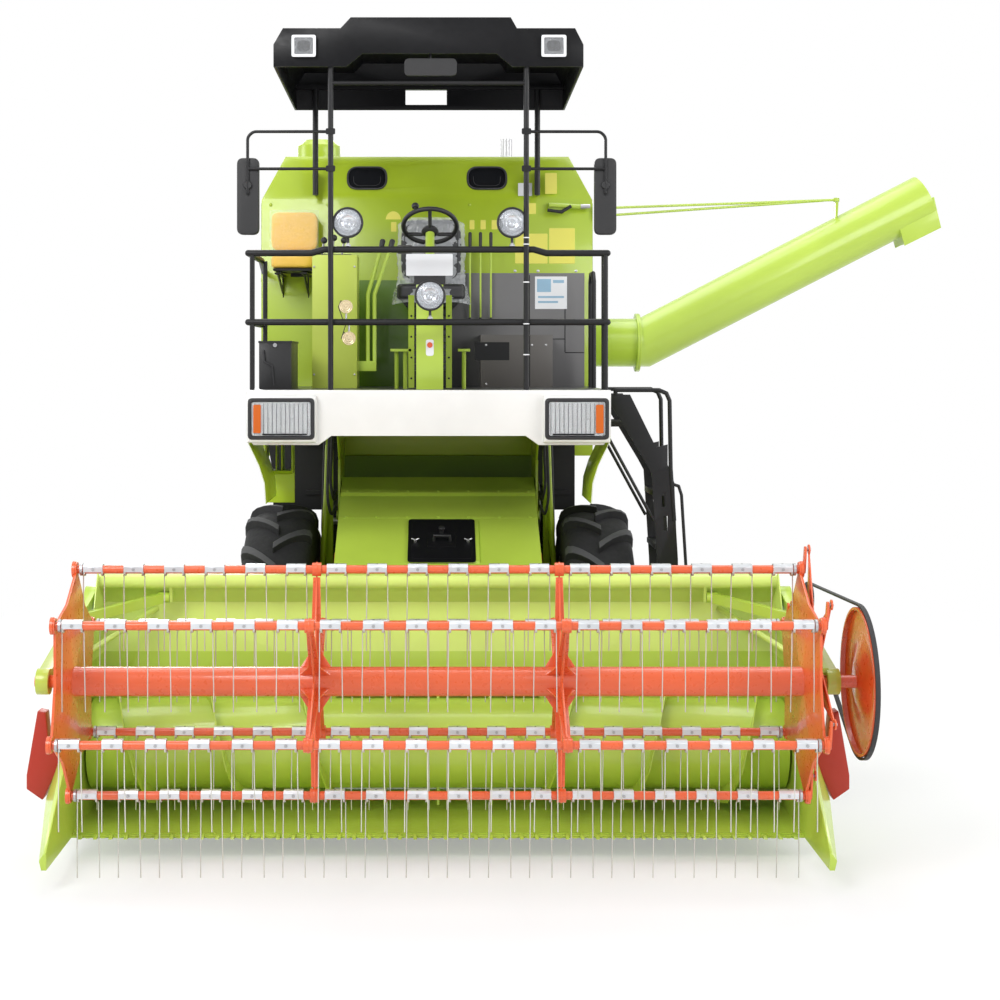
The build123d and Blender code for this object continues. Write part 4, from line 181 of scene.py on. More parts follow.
# A zone is a box, as spans in mm by axis, and the colour inside it
P = {
    "lime": paint("lime enamel", LIME, 0.34, coat=0.35),
    # Painted light: the lime green made lighter, as if lit from above
    "bright": paint("lime enamel with painted light", LIT_LIME, 0.33, coat=0.35),
    "orange": paint("orange enamel", (0.72, 0.11, 0.027), 0.3, coat=0.4),
    "ear_orange": paint("divider orange", (0.40, 0.022, 0.005), 0.45),
    "black": paint("black enamel", BLACK, 0.4, vary=0.2, Specular_IOR_Level=0.3),
    "gloss_black": paint("gloss black roof", (0.006, 0.006, 0.007), 0.34, vary=0.2, Specular_IOR_Level=0.2),
    "grey": paint("grey panel enamel", GREY, 0.42, coat=0.1, vary=0.06),
    "dark_grey": paint("dark box enamel", (0.055, 0.05, 0.047), 0.45, vary=0.12),
    "zinc": paint("galvanised plate", (0.66, 0.68, 0.70), 0.36, metal=0.85, grain=(90, 0.05), vary=0.12),
    "wire": paint("spring wire", (0.62, 0.61, 0.57), 0.33, metal=0.8, vary=0.1),
    "steel": paint("bare steel", (0.45, 0.45, 0.46), 0.38, metal=0.9, vary=0.15),
    "chrome": paint("chrome", (0.85, 0.86, 0.88), 0.08, metal=1.0, grain=None, vary=0.02),
    "iron": paint("engine casting", (0.09, 0.09, 0.095), 0.6, metal=0.3, grain=(120, 0.2), vary=0.2),
    "rubber": paint("belt rubber", (0.022, 0.022, 0.024), 0.62, grain=(180, 0.12), vary=0.2),
    "tyre": paint("tyre rubber", (0.016, 0.016, 0.017), 0.75, grain=(70, 0.12), vary=0.25,
                  Specular_IOR_Level=0.3),
    # Lighter rubber for the lugs' outer faces
    "tyre_top": paint("lighter lug-face rubber", (0.052, 0.052, 0.055), 0.7, grain=(70, 0.12), vary=0.25),
    "plastic": paint("black plastic", (0.014, 0.014, 0.015), 0.48, grain=(420, 0.12), vary=0.1),
    "lens": paint("lamp glass", (0.92, 0.94, 0.96), 0.06, grain=(34, 0.25), vary=0.0, IOR=1.4,
                  Transmission_Weight=0.85),
    "amber": paint("amber lens", (0.85, 0.17, 0.01), 0.15, vary=0.05, Transmission_Weight=0.3),
    "red": paint("red lens", (0.55, 0.01, 0.01), 0.15, vary=0.05, Transmission_Weight=0.3),
    "mirror": paint("mirror glass", (0.8, 0.82, 0.84), 0.03, metal=1.0, grain=None, vary=0.0),
    "window": paint("dark window", (0.012, 0.013, 0.015), 0.08, coat=0.5, grain=None, vary=0.1),
    "yellow": paint("yellow cushion", (0.92, 0.57, 0.09), 0.5, grain=(60, 0.25), vary=0.12),
    "seat": paint("black cushion", (0.03, 0.03, 0.033), 0.5, grain=(300, 0.2), vary=0.2),
    "wrap": paint("clear wrap", FILM, 0.12, grain=(22, 0.9), vary=0.02, Alpha=0.34, Specular_IOR_Level=0.8),
    "thin_wrap": paint("thin wrap", FILM, 0.12, grain=(22, 0.6), vary=0.02, Alpha=0.14,
                       Specular_IOR_Level=0.6),
    "label": paint("yellow label", (0.85, 0.80, 0.14), 0.4, vary=0.04),
    "card": paint("white label", (0.82, 0.83, 0.84), 0.4, vary=0.03),
    "sky": paint("pale blue print", (0.30, 0.48, 0.62), 0.4, vary=0.1),
    "cream": paint("horn face", (0.66, 0.55, 0.34), 0.3, metal=0.3, coat=0.3),
    "control_paint": paint("panel paints", GREY, 0.42, vary=0.06, zones=[
        # Painted light: this green box is painted lighter than the lime, as if lit
        ({"x": (-760, -470), "z": (2300, 3180)}, (0.60, 0.72, 0.11)),
        ({"x": (-1100, -820)}, (0.02, 0.02, 0.021)),
        ({"x": (250, 710), "y": (0, 268), "z": (2300, 2670)}, (0.10, 0.092, 0.084)),
        # Painted light: the green boxes below use the lighter, lit copy of the lime
        ({"x": (190, 345), "y": (268, 300), "z": (2772, 3200)}, LIT_LIME),
        ({"x": (190, 345), "y": (268, 300), "z": (2700, 2772)}, BLACK),
        ({"x": (-310, 210), "y": (-700, -360), "z": (2340, 2620)}, LIT_LIME),
        ({"x": (-470, -260), "y": (-300, 0)}, LIT_LIME),
    ]),
    "tank_paint": paint("tank enamel with painted shade", LIME, 0.34, coat=0.35, zones=[
        # Painted shade: the lower front of the tank, where the hopper slopes back into shadow, is dark green
        ({"x": (-790, 86), "y": (440, 458), "z": (2300, 3012)}, (0.095, 0.20, 0.004)),
    ]),
    "body_paint": paint("body enamel with painted shade", LIME, 0.34, coat=0.35, zones=[
        # Painted shade: the body's front under the platform (z 1500 to 2350) is dark green
        ({"x": (-590, 590), "y": (0, 449), "z": (1500, 2350)}, (0.15, 0.26, 0.006)),
    ]),
    # Painted light: the lit green, with the upper band of the header table (z 900 to 1600) painted lighter
    # still where light falls from above
    "header_paint": paint("header enamel with painted light", LIT_LIME, 0.33, coat=0.35, zones=[
        ({"z": (900, 1600)}, (0.62, 0.76, 0.17)),
    ]),
    "platform": paint("platform paint", LIME, 0.33, coat=0.3, zones=[
        ({"y": (-1200, FLOOR_FRONT_Y + 25)}, (0.80, 0.80, 0.77)),
        ({"y": (FLOOR_FRONT_Y + 25, 500), "z": (2299, FLOOR_Z)}, (0.05, 0.05, 0.05)),
    ]),
}


def circle(count, radius):
    """Points round a circle, as pairs."""
    angles = [2 * pi * k / count for k in range(count)]
    return [(radius * cos(a), radius * sin(a)) for a in angles]


class Piece:
    """Faces gathered in mm in the machine frame, each with the name of its paint."""

    def __init__(self):
        self.points = []
        self.faces = []
        self.paints = []

    def put(self, points, faces, name):
        """Add faces. name is one paint, or a list with one for each face."""
        start = len(self.points)
        self.points += [Vector(p) for p in points]
        self.faces += [tuple(start + i for i in face) for face in faces]
        self.paints += name if isinstance(name, list) else [name] * len(faces)

    def loft(self, rings, name, first_cap=False, last_cap=False):
        """Skin through closed rings with equal counts of points."""
        n = len(rings[0])
        faces = []
        for i in range(len(rings) - 1):
            for k in range(n):
                m = (k + 1) % n
                faces.append((i * n + k, i * n + m, (i + 1) * n + m, (i + 1) * n + k))
        if first_cap:
            faces.append(tuple(range(n))[::-1])
        if last_cap:
            faces.append(tuple(range((len(rings) - 1) * n, len(rings) * n)))
        self.put([p for ring in rings for p in ring], faces, name)

    def prism(self, low, high, name):
        """Closed form between two rings."""
        n = len(low)
        sides = [(i, (i + 1) % n, n + (i + 1) % n, n + i) for i in range(n)]
        self.put([*low, *high], [tuple(range(n))[::-1], tuple(range(n, 2 * n))] + sides, name)

    def slab(self, outline, low, high, axis, name):
        """Straight-sided outline, extruded along x or y."""
        order = {"x": (2, 0, 1), "y": (0, 2, 1)}[axis]
        rings = [[tuple((a, b, depth)[i] for i in order) for a, b in outline] for depth in (low, high)]
        self.prism(*rings, name)

    def box(self, xs, ys, zs, name):
        self.slab([(xs[0], zs[0]), (xs[1], zs[0]), (xs[1], zs[1]), (xs[0], zs[1])], ys[0], ys[1], "y", name)

    def tube(self, path, radius, name, sides=12, loop=False):
        """Round bar along a path, with mitred corners."""
        path = [Vector(p) for p in path]
        count = len(path)
        tangents = []
        for i in range(count):
            before = path[i - 1] if loop or i else path[0]
            after = path[(i + 1) % count] if loop or i < count - 1 else path[-1]
            tangents.append(((path[i] - before).normalized() + (after - path[i]).normalized()).normalized())
        side = tangents[0].orthogonal().normalized()
        rings = []
        for i, spot in enumerate(path):
            side = (side - tangents[i] * side.dot(tangents[i])).normalized()
            up = tangents[i].cross(side)
            stretch, bend = 1.0, Vector()
            if 0 < i < count - 1 or loop:
                after = path[(i + 1) % count]
                stretch = 1 / max(0.5, (after - spot).normalized().dot(tangents[i]))
                bend = after - 2 * spot + path[i - 1]
                bend = (bend - tangents[i] * bend.dot(tangents[i])).normalized()
            ring = []
            for a, b in circle(sides, radius):
                offset = side * a + up * b
                if stretch > 1.001:
                    offset += bend * offset.dot(bend) * (stretch - 1)
                ring.append(spot + offset)
            rings.append(ring)
        if loop:
            rings.append(rings[0])
        self.loft(rings, name, not loop, not loop)

    def turn(self, profile, centre, axis, name, steps=32):
        """Profile of (distance along the axis, radius), turned all the way round."""
        axis = Vector(axis).normalized()
        side = axis.orthogonal().normalized()
        up = axis.cross(side)
        rings = [[Vector(centre) + axis * along + side * a + up * b for a, b in circle(steps, radius)]
                 for along, radius in profile]
        self.loft(rings, name)

    def disc(self, centre, axis, radius, height, name, steps=12):
        self.turn([(0, 0), (0, radius), (height, radius), (height, 0)], centre, axis, name, steps)

    def ball(self, centre, radius, name, steps=12):
        half = steps // 2
        profile = [(-cos(pi * i / half) * radius, sin(pi * i / half) * radius) for i in range(half + 1)]
        self.turn(profile, centre, Z, name, steps)

    def grid(self, rows, columns, spot, name):
        """Faces over a grid of places, given by spot(row, column)."""
        points = [spot(i, j) for i in range(rows + 1) for j in range(columns + 1)]
        faces = []
        for i in range(rows):
            for j in range(columns):
                a = i * (columns + 1) + j
                faces.append((a, a + 1, a + columns + 2, a + columns + 1))
        self.put(points, faces, name)

    def join(self, other, shift):
        self.put([p + Vector(shift) for p in other.points], other.faces, list(other.paints))


def rounded(path, radius, steps=5, loop=False):
    """Path of points with its corners rounded."""
    path = [Vector(p) for p in path]
    out = []
    count = len(path)
    for i, corner in enumerate(path):
        if not loop and i in (0, count - 1):
            out.append(corner)
            continue
        into, leave = path[i - 1] - corner, path[(i + 1) % count] - corner
        reach = min(radius, into.length * 0.45, leave.length * 0.45)
        start, end = corner + into.normalized() * reach, corner + leave.normalized() * reach
        for k in range(steps + 1):
            t = k / steps
            out.append(start.lerp(corner, t).lerp(corner.lerp(end, t), t))
    return out


def rounded_outline(points, radius, steps=5):
    """Closed 2-D outline with rounded corners."""
    return [(p[0], p[1]) for p in rounded([(x, y, 0) for x, y in points], radius, steps, loop=True)]


def oblong(x, z, width, height, radius, steps=6):
    """Rounded rectangle round a centre."""
    w, h = width / 2, height / 2
    return rounded_outline([(x - w, z - h), (x + w, z - h), (x + w, z + h), (x - w, z + h)], radius, steps)


def oblong_rings(x, z, y, rows):
    """Rounded rectangles at depths from y. A row has width, height, depth and corner radius."""
    return [[(a, y + depth, b) for a, b in oblong(x, z, width, height, corner)]
            for width, height, depth, corner in rows]


def soften_edges(item, width, segments, limit):
    bevel = item.modifiers.new("soft edges", "BEVEL")
    bevel.width = width / 1000
    bevel.segments = segments
    bevel.limit_method = "ANGLE"
    bevel.angle_limit = radians(limit)


def make(piece, name, body, soften=0.0, angle=38, steps=2, replaces=()):
    """Mesh object in the row frame, riding on a body."""
    mesh = bpy.data.meshes.new(name)
    move = Vector(ORIGIN)
    mesh.from_pydata([tuple((p - move) / 1000) for p in piece.points], [], piece.faces)
    names = sorted(set(piece.paints))
    for used in names:
        mesh.materials.append(P[used])
    for polygon, used in zip(mesh.polygons, piece.paints):
        polygon.material_index = names.index(used)
    work = bmesh.new()
    work.from_mesh(mesh)
    bmesh.ops.remove_doubles(work, verts=work.verts, dist=1e-6)
    bmesh.ops.recalc_face_normals(work, faces=work.faces)
    work.to_mesh(mesh)
    work.free()
    mesh.shade_smooth()
    mesh.set_sharp_from_angle(angle=radians(angle))
    item = bpy.data.objects.new(name, mesh)
    bpy.context.scene.collection.objects.link(item)
    if soften:
        soften_edges(item, soften, steps, 40)
    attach(item, body)
    if replaces:
        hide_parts(*replaces)
    return item


def angle_smoother(limit):
    """Geometry nodes that smooth a mesh except at edges sharper than limit degrees."""
    group = bpy.data.node_groups.new("smooth by angle", "GeometryNodeTree")
    for way in ("INPUT", "OUTPUT"):
        group.interface.new_socket("Geometry", in_out=way, socket_type="NodeSocketGeometry")
    start, end, faces, edges, bend, below = (group.nodes.new(kind) for kind in (
        "NodeGroupInput", "NodeGroupOutput", "GeometryNodeSetShadeSmooth", "GeometryNodeSetShadeSmooth",
        "GeometryNodeInputMeshEdgeAngle", "FunctionNodeCompare"))
    edges.domain = "EDGE"
    below.operation = "LESS_THAN"
    below.inputs[1].default_value = radians(limit)
    for source, socket in ((start, faces.inputs[0]), (faces, edges.inputs[0]), (bend, below.inputs[0]),
                           (below, edges.inputs["Shade Smooth"]), (edges, end.inputs[0])):
        group.links.new(source.outputs[0], socket)
    return group


SMOOTHER = angle_smoother(36)

# CAD nodes keep their shape and get a finish, with softened edges on plates and boxes
WEAR = {
    # (paint, edge softening in mm): nodes
    ("lime", 3): "main_frame straw_hood air_cleaner",
    ("lime", 4): "engine_hood grain_elevator",
    # Painted shade on the body's front under the platform
    ("body_paint", 5): "separator_body",
    # Painted shade on the tank's lower front
    ("tank_paint", 4): "grain_tank",
    ("platform", 4): "platform",
    ("control_paint", 4): "control_panels",
    # Painted light: the parts below get the lighter, lit copy of the lime green
    ("bright", 0): "unloader_stays",
    ("bright", 1): "cutter_bar auger",
    ("bright", 2): "unloader_stub unloader_tube",
    ("bright", 3): "reel_arms",
    ("bright", 4): "feeder_house steering_column",
    # Painted light on the header table's upper band
    ("header_paint", 2): "header_table",
    ("orange", 0): " ".join(f"reel_bat_{n}" for n in range(1, 7)),
    ("orange", 1.5): "reel reel_guide",
    ("orange", 2): "front_right_rim front_left_rim rear_right_rim rear_left_rim side_drives",
    ("ear_orange", 4): "divider_ears",
    ("black", 0): "platform_rails canopy_posts",
    ("black", 1): "header_lift_barrels reel_lift_barrels",
    ("black", 1.5): "ladder",
    ("black", 2): "left_knuckle right_knuckle",
    ("black", 3): "front_axle rear_axle radiator_screen",
    ("black", 4): "fuel_tank",
    ("gloss_black", 5): "canopy",
    ("plastic", 2): "mirrors lamps_and_horns",
    ("plastic", 3): "steering_wheel",
    ("tyre", 0): "front_right_tyre front_left_tyre rear_right_tyre rear_left_tyre",
    ("rubber", 1): "reel_belt",
    ("steel", 0): "tie_rod exhaust",
    ("zinc", 1): "straw_walkers",
    ("chrome", 1): "header_lift_rods reel_lift_rods",
    ("iron", 6): "engine",
    ("seat", 12): "operator_seat",
    ("yellow", 12): "helper_seat",
}


def finish(item, name, soften):
    item.data.materials.clear()
    item.data.materials.append(P[name])
    item.modifiers.new("weld", "WELD").merge_threshold = 0.00002
    if soften:
        soften_edges(item, soften, 2, 42)
    if "custom_normal" in item.data.attributes:
        item.data.attributes.remove(item.data.attributes["custom_normal"])
    item.modifiers.new("smooth", "NODES").node_group = SMOOTHER


for (name, soften), nodes in WEAR.items():
    for node in nodes.split():
        finish(NODES[node], name, soften)


# Tyres: rounded carcass, curved lugs in front, ribs behind
def front_tyre(side_name, side):
    x0, top_r = side * FRONT_TRACK_X, FRONT_R - 0.5
    centre = (x0, 0, FRONT_R)
    half = [(149, 392), (168, 402), (190, 440), (203, 510), (206, 590), (203, 660), (196, 695), (186, 716),
            (170, 733), (145, 749), (110, 763), (60, 773), (0, 776)]
    piece = Piece()
    piece.turn([(-x, r) for x, r in half] + half[-2::-1], centre, X, "tyre", 96)
    for x in (-1, 1):
        piece.turn([(x * 190, 470), (x * 203, 476), (x * 204, 486), (x * 200, 492)], centre, X, "tyre", 96)
    # Lug sections: distance out from the middle, half width, drop of the top, radius of the foot
    sections = [(-12, 26, 0, 768), (30, 25, 0.5, 767), (75, 25, 4, 762), (120, 27, 12, 750),
                (160, 29, 25, 732), (190, 31, 48, 704), (203, 31, 82, 676)]
    last = 4 * (len(sections) - 1)
    faces = [(i + k, i + k + 1, i + k + 5, i + k + 4) for i in range(0, last, 4) for k in range(3)]
    faces += [(0, 1, 2, 3), (last, last + 1, last + 2, last + 3)]
    # The lugs' outer faces get the lighter rubber
    paints = ["tyre", "tyre_top", "tyre"] * (len(sections) - 1) + ["tyre"] * 2
    for n in range(LUG_COUNT):
        turn = radians(360 * n / LUG_COUNT - 90)
        way = 1 if n % 2 else -1
        points = []
        for x, w, drop, foot in sections:
            middle = (x - 101) * tan(radians(LUG_SLANT)) + 10 * sin((x + 12) / 215 * pi)
            top = top_r - drop
            for across, r in ((-w - 7, foot), (-w, top), (w, top), (w + 7, foot)):
                a = turn - (middle + across) / top_r
                points.append((x0 + way * x, r * cos(a), FRONT_R + r * sin(a)))
        piece.put(points, faces, paints)
    make(piece, f"lugged_tyre_{side_name}", f"front_{side_name}_wheel", soften=4, angle=50,
         replaces=[f"front_{side_name}_tyre"])


def rear_tyre(side_name, side):
    half = [(76, 207), (88, 214), (98, 240), (104, 285), (104, 330), (99, 375), (93, 405), (86, 424),
            (80, 428), (56, 429), (54, 417), (46, 417), (44, 429), (19, 429.5), (17, 417), (9, 417),
            (7, 429.8), (0, 429.8)]
    piece = Piece()
    piece.turn(half + [(-x, r) for x, r in half[-2::-1]], (side * REAR_TRACK_X, REAR_AXLE_Y, REAR_R), X,
               "tyre", 80)
    make(piece, f"ribbed_tyre_{side_name}", f"rear_{side_name}_wheel", angle=32,
         replaces=[f"rear_{side_name}_tyre"])


for side_name, side in (("right", -1), ("left", 1)):
    front_tyre(side_name, side)
    rear_tyre(side_name, side)


# Reel bats: tube, plate clamps with wound spring tines, end collars and the guide crank
def bat():
    piece = Piece()
    piece.tube([(-BAT_HALF + 1, 0, 0), (BAT_HALF - 1, 0, 0)], BAT_R - 0.5, "orange", 20)
    section = [(-24, -12), (-27, 14), (-16, 27), (18, 27), (24, 14), (24, -12)]
    for n in range(CLAMP_COUNT):
        x = (n - (CLAMP_COUNT - 1) / 2) * CLAMP_PITCH
        piece.slab(section, x - CLAMP_W / 2, x + CLAMP_W / 2, "x", "zinc")
        piece.disc((x, 0, 26.4), Z, 5.5, 1.2, "black")
        piece.turn([(0, 8), (5, 8), (5, 0)], (x, -27, 2), -Y, "steel", 6)
        for out in (-1, 1):
            start = x + out * TINE_SPREAD / 2
            coil = []
            for k in range(31):
                a = 2 * pi * k / 12 + pi / 2
                coil.append((start + out * (k * 0.42 - 6), -13.6 * cos(a) - 4, -16 + 13 * sin(a)))
            coil += [(start + out * 7, 9, -34), (start + out * 7, 9, -120), (start + out * 9, 14, -260),
                     (start + out * 10, 22, -TINE_LENGTH + 2)]
            piece.tube(coil, 2.9, "wire", 6)
    for side in (-1, 1):
        piece.turn([(-26, 21), (-26, 30), (-13, 30), (-13, 21)], (side * (BAT_HALF - 14), 0, 0), X * side,
                   "steel", 20)
    piece.tube([(BAT_HALF - 1, 0, 0), (CRANK_X + 10, 0, 0)], 16, "steel", 16)
    lean = Vector((0, GUIDE_DY, GUIDE_DZ)).normalized()
    across = Vector((0, lean.z, -lean.y))
    outline = []
    for centre, r, start in (((0, 0), 20, 180), ((GUIDE_DY, GUIDE_DZ), 15, 0)):
        for k in range(9):
            a = radians(start + 180 * k / 8)
            p = across * cos(a) * r + lean * sin(a) * r
            outline.append((centre[0] + p.y, centre[1] + p.z))
    piece.slab(outline, CRANK_X, CRANK_X + 10, "x", "orange")
    piece.turn([(0, 8), (20, 8), (22, 6.5), (22, 0)], (CRANK_X + 10, GUIDE_DY, GUIDE_DZ), X, "steel", 14)
    return piece


BAT = bat()
for n, turn in enumerate(BAT_ANGLES, 1):
    a = radians(turn)
    placed = Piece()
    placed.join(BAT, (0, REEL_Y - BAT_CIRCLE_R * cos(a), REEL_Z + BAT_CIRCLE_R * sin(a)))
    make(placed, f"tined_bat_{n}", f"reel_bat_{n}", soften=0.8, angle=45, steps=1,
         replaces=[f"reel_bat_{n}"])


# Lamps: headlamps in the fascia, round work lamps on the rails, square lamps on the roof, horns
def headlamp(piece, x_low, x_high, outer):
    y = FASCIA_Y
    x, z, w, h = (x_low + x_high) / 2, HEADLAMP_Z, x_high - x_low - 28, 218
    piece.loft(oblong_rings(x, z, y, [(w + 12, h + 10, 3, 26), (w + 12, h + 10, -4, 26), (w + 2, h, -9, 24),
                                      (w - 22, h - 24, -9, 18), (w - 30, h - 32, -4, 15)]), "plastic")
    piece.loft(oblong_rings(x, z, y, [(w - 34, h - 36, -3, 14), (w - 60, h - 62, 26, 30),
                                      (w * 0.5, h * 0.4, 34, 30)]), "chrome", last_cap=True)
    for bulb in (-70, 60):
        piece.turn([(0, 34), (-6, 33), (-14, 24), (-20, 0)], (x + bulb, y + 28, z), Y, "chrome", 24)
        piece.ball((x + bulb, y + 8, z), 11, "lens")
    piece.slab(oblong(x, z, w - 32, h - 34, 15), y - 8, y - 4, "y", "lens")
    for k in range(-6, 7):
        rib = x + k * 24
        piece.box((rib - 1.5, rib + 1.5), (y - 9.5, y - 8), (z - h / 2 + 24, z + h / 2 - 24), "lens")
    piece.slab(oblong(x + outer * (w / 2 - 46), z, 42, h - 62, 8), y - 11, y - 8, "y", "amber")
    piece.slab(oblong(x - outer * 20, z - h / 2 + 24, w - 110, 9, 4), y - 10.5, y - 8, "y", "black")


lamps = Piece()
headlamp(lamps, -1050, -668, -1)
headlamp(lamps, 578, 945, 1)
for x, rail_z in ((-498, RAIL_TOP_Z), (410, RAIL_TOP_Z), (-44, RAIL_MID_Z)):
    z = rail_z + 147
    lamps.turn([(50, 0), (50, 18), (40, 40), (16, 76), (0, 84), (-16, 86), (-32, 86), (-36, 83), (-36, 77),
                (-28, 74), (-24, 74)], (x, RAIL_Y, z), Y, "plastic", 40)
    lamps.turn([(-27, 75), (-10, 62), (4, 40), (10, 14), (10, 0)], (x, RAIL_Y, z), Y, "chrome", 40)
    lamps.turn([(-28, 75), (-33, 60), (-36, 34), (-37, 0)], (x, RAIL_Y, z), Y, "lens", 40)
    lamps.ball((x, RAIL_Y - 12, z), 13, "lens", 14)
    for k in range(-4, 5):
        reach = (74 ** 2 - (k * 15) ** 2) ** 0.5 * 0.94
        rib, y = x + k * 15, RAIL_Y - 36 + abs(k) * 1.2
        lamps.tube([(rib, y, z - reach), (rib, RAIL_Y - 37, z), (rib, y, z + reach)], 1.1, "lens", 4)
    lamps.tube([(x, RAIL_Y, rail_z + RAIL_R - 2), (x, RAIL_Y, z - 78)], 8, "plastic")
    lamps.turn([(0, 16), (9, 16), (9, 9), (18, 9)], (x, RAIL_Y, rail_z + RAIL_R), Z, "steel", 6)
for x, z in ((-508, RAIL_MID_Z + 85), (-492, RAIL_MID_Z - 90)):
    lamps.turn([(35, 0), (35, 22), (-6, 26), (-14, 37), (-24, 38), (-27, 35), (-25, 31), (-29, 27),
                (-27, 22), (-31, 17), (-30, 9), (-33, 6), (-33, 0)], (x, RAIL_Y, z), Y, "cream", 36)
    foot = RAIL_MID_Z + (RAIL_R if z > RAIL_MID_Z else -RAIL_R)
    lamps.tube([(x, RAIL_Y, z), (x, RAIL_Y, foot)], 5.5, "steel", 10)
    lamps.tube([(x - 6, RAIL_Y + 20, z + 20), (x - 30, RAIL_Y + 18, z + 34), (x - 44, RAIL_Y + 12, z),
                (x - 20, RAIL_Y + 8, foot)], 2.5, "rubber", 6)
for low, high in ((-803, -670), (567, 704)):
    x, z, w, y = (low + high) / 2, ROOF_LAMP_Z, high - low, ROOF_LAMP_Y
    lamps.slab(oblong(x, z, w - 4, 118, 12), y - 24, y, "y", "plastic")
    lamps.loft(oblong_rings(x, z, y, [(w, 120, -24, 12), (w, 120, -30, 12), (w - 30, 92, -31, 8),
                                      (w - 30, 92, -22, 8)]), "card")
    lamps.slab(oblong(x, z, w - 30, 92, 8), y - 27, y - 25, "y", "lens")
    lamps.slab(oblong(x, z, w - 60, 60, 24), y - 25, y - 24.2, "y", "chrome")
make(lamps, "lamps_and_discs", "machine", soften=1.2, angle=40, steps=1, replaces=["lamps_and_horns"])


# Mirrors: rounded housings on two arms, glass behind, knob in front
mirrors = Piece()
for post_x, x in ((POST_XS[0], -1050), (POST_XS[1], 925)):
    side = 1 if x > post_x else -1
    for z, rest in ((3765, [(x - side * 30, POST_Y, 3765), (x, POST_Y, 3735), (x, POST_Y, 3423)]),
                    (3560, [(x, POST_Y, 3560)])):
        mirrors.tube(rounded([(post_x + side * 15, POST_Y, z), *rest], 26), 8.5, "black")
        mirrors.slab(oblong(post_x, z, 52, 34, 8), POST_Y - 18, POST_Y - 14.5, "y", "black")
    rings = oblong_rings(x, MIRROR_Z, POST_Y, [(84, 380, 8, 30), (118, 416, 10, 34), (122, 424, 18, 36),
                                               (122, 424, 50, 36), (108, 410, 51, 30)])
    mirrors.loft(rings, "plastic", first_cap=True)
    mirrors.slab(oblong(x, MIRROR_Z, 108, 410, 30), POST_Y + 48, POST_Y + 51, "y", "mirror")
    mirrors.turn([(8, 24), (0, 24), (-7, 20), (-7, 0)], (x, POST_Y, 3470), Y, "plastic", 20)
    mirrors.tube([(x, POST_Y, 3423), (x, POST_Y + 12, 3423)], 8.5, "black")
make(mirrors, "rear_view_mirrors", "machine", soften=1.5, angle=42, replaces=["mirrors"])
cab_mirror = Piece()
cab_mirror.slab(oblong(-41, 4122, 290, 96, 30), -1014, -996, "y", "plastic")
cab_mirror.slab(oblong(-41, 4122, 270, 80, 24), -996, -993, "y", "mirror")
cab_mirror.tube([(-41, -1004, 4160), (-41, -1000, 4236)], 7, "black", 10)
make(cab_mirror, "inner_mirror", "machine", soften=3)


# Steering wheel
COLUMN_AXIS = Vector((0, sin(radians(WHEEL_TILT)), cos(radians(WHEEL_TILT))))


def tilted(x, along, up):
    """Point from wheel coordinates: x, y in the wheel's plane, and out along the column."""
    flat = Vector((x, -COLUMN_AXIS.z * along, COLUMN_AXIS.y * along))
    return Vector(WHEEL_CENTRE) + flat + COLUMN_AXIS * up


wheel = Piece()
wheel.tube([tilted(a, b, 0) for a, b in circle(56, STEERING_R)], STEERING_RIM_R, "plastic", 14, loop=True)
for spoke in (90, 210, 330):
    a = radians(spoke)
    path = [tilted(r * cos(a), r * sin(a), up) for r, up in ((18, -46), (60, -38), (110, -17), (151, 0))]
    for start, end in zip(path, path[1:]):
        wheel.tube([start, end], 11, "plastic")
wheel.turn([(-59, 24), (-56, 40), (-44, 50), (-30, 44), (-24, 0)], WHEEL_CENTRE, COLUMN_AXIS, "plastic", 32)
wheel.turn([(0, 8), (22, 8), (25, 18), (38, 22), (50, 18), (54, 0)], tilted(-84, 128, 4), COLUMN_AXIS,
           "plastic", 20)
make(wheel, "spoked_wheel", "steering_wheel", soften=1, angle=50, replaces=["steering_wheel"])


# Seats: crowned cushions on frames, under a crinkled clear wrap
def cushion(xs, ys, zs, name, channels=(), power=5.0):
    """Closed crowned form that pulls in between its corners. channels are heights of sewn lines."""
    half = Vector([(high - low) / 2 for low, high in (xs, ys, zs)])
    centre = Vector([(high + low) / 2 for low, high in (xs, ys, zs)])
    count = 22
    piece = Piece()

    def corner(face, i, j):
        axis, way = divmod(face, 2)
        spot = [0, 0, 0]
        spot[axis] = 1 if way else -1
        spot[(axis + 1) % 3], spot[(axis + 2) % 3] = -1 + 2 * i / count, -1 + 2 * j / count
        size = sum(abs(v) ** power for v in spot) ** (1 / power)
        u = [v / size for v in spot]
        pull = [1 - 0.035 * (1 - u[(k + 1) % 3] ** 2) * (k != 1) for k in range(3)]
        p = Vector([u[k] * half[k] * pull[k] for k in range(3)])
        for line in channels:
            near = abs(p.z - line * half.z) / 9
            if near < 1 and abs(u[1]) > 0.5:
                p.y *= 1 - 0.16 * (1 - near)
        return centre + p + p.normalized() * noise.noise(p * 0.012 + centre * 0.01) * 3.0

    for face in range(6):
        piece.grid(count, count, lambda i, j: corner(face, i, j), name)
    return piece


def piping(piece, x, z, width, height, y, name, radius=3.2):
    path = oblong(x, z, width, height, min(width, height) * 0.22)
    piece.tube([(a, y, b) for a, b in path], radius, name, 8, loop=True)


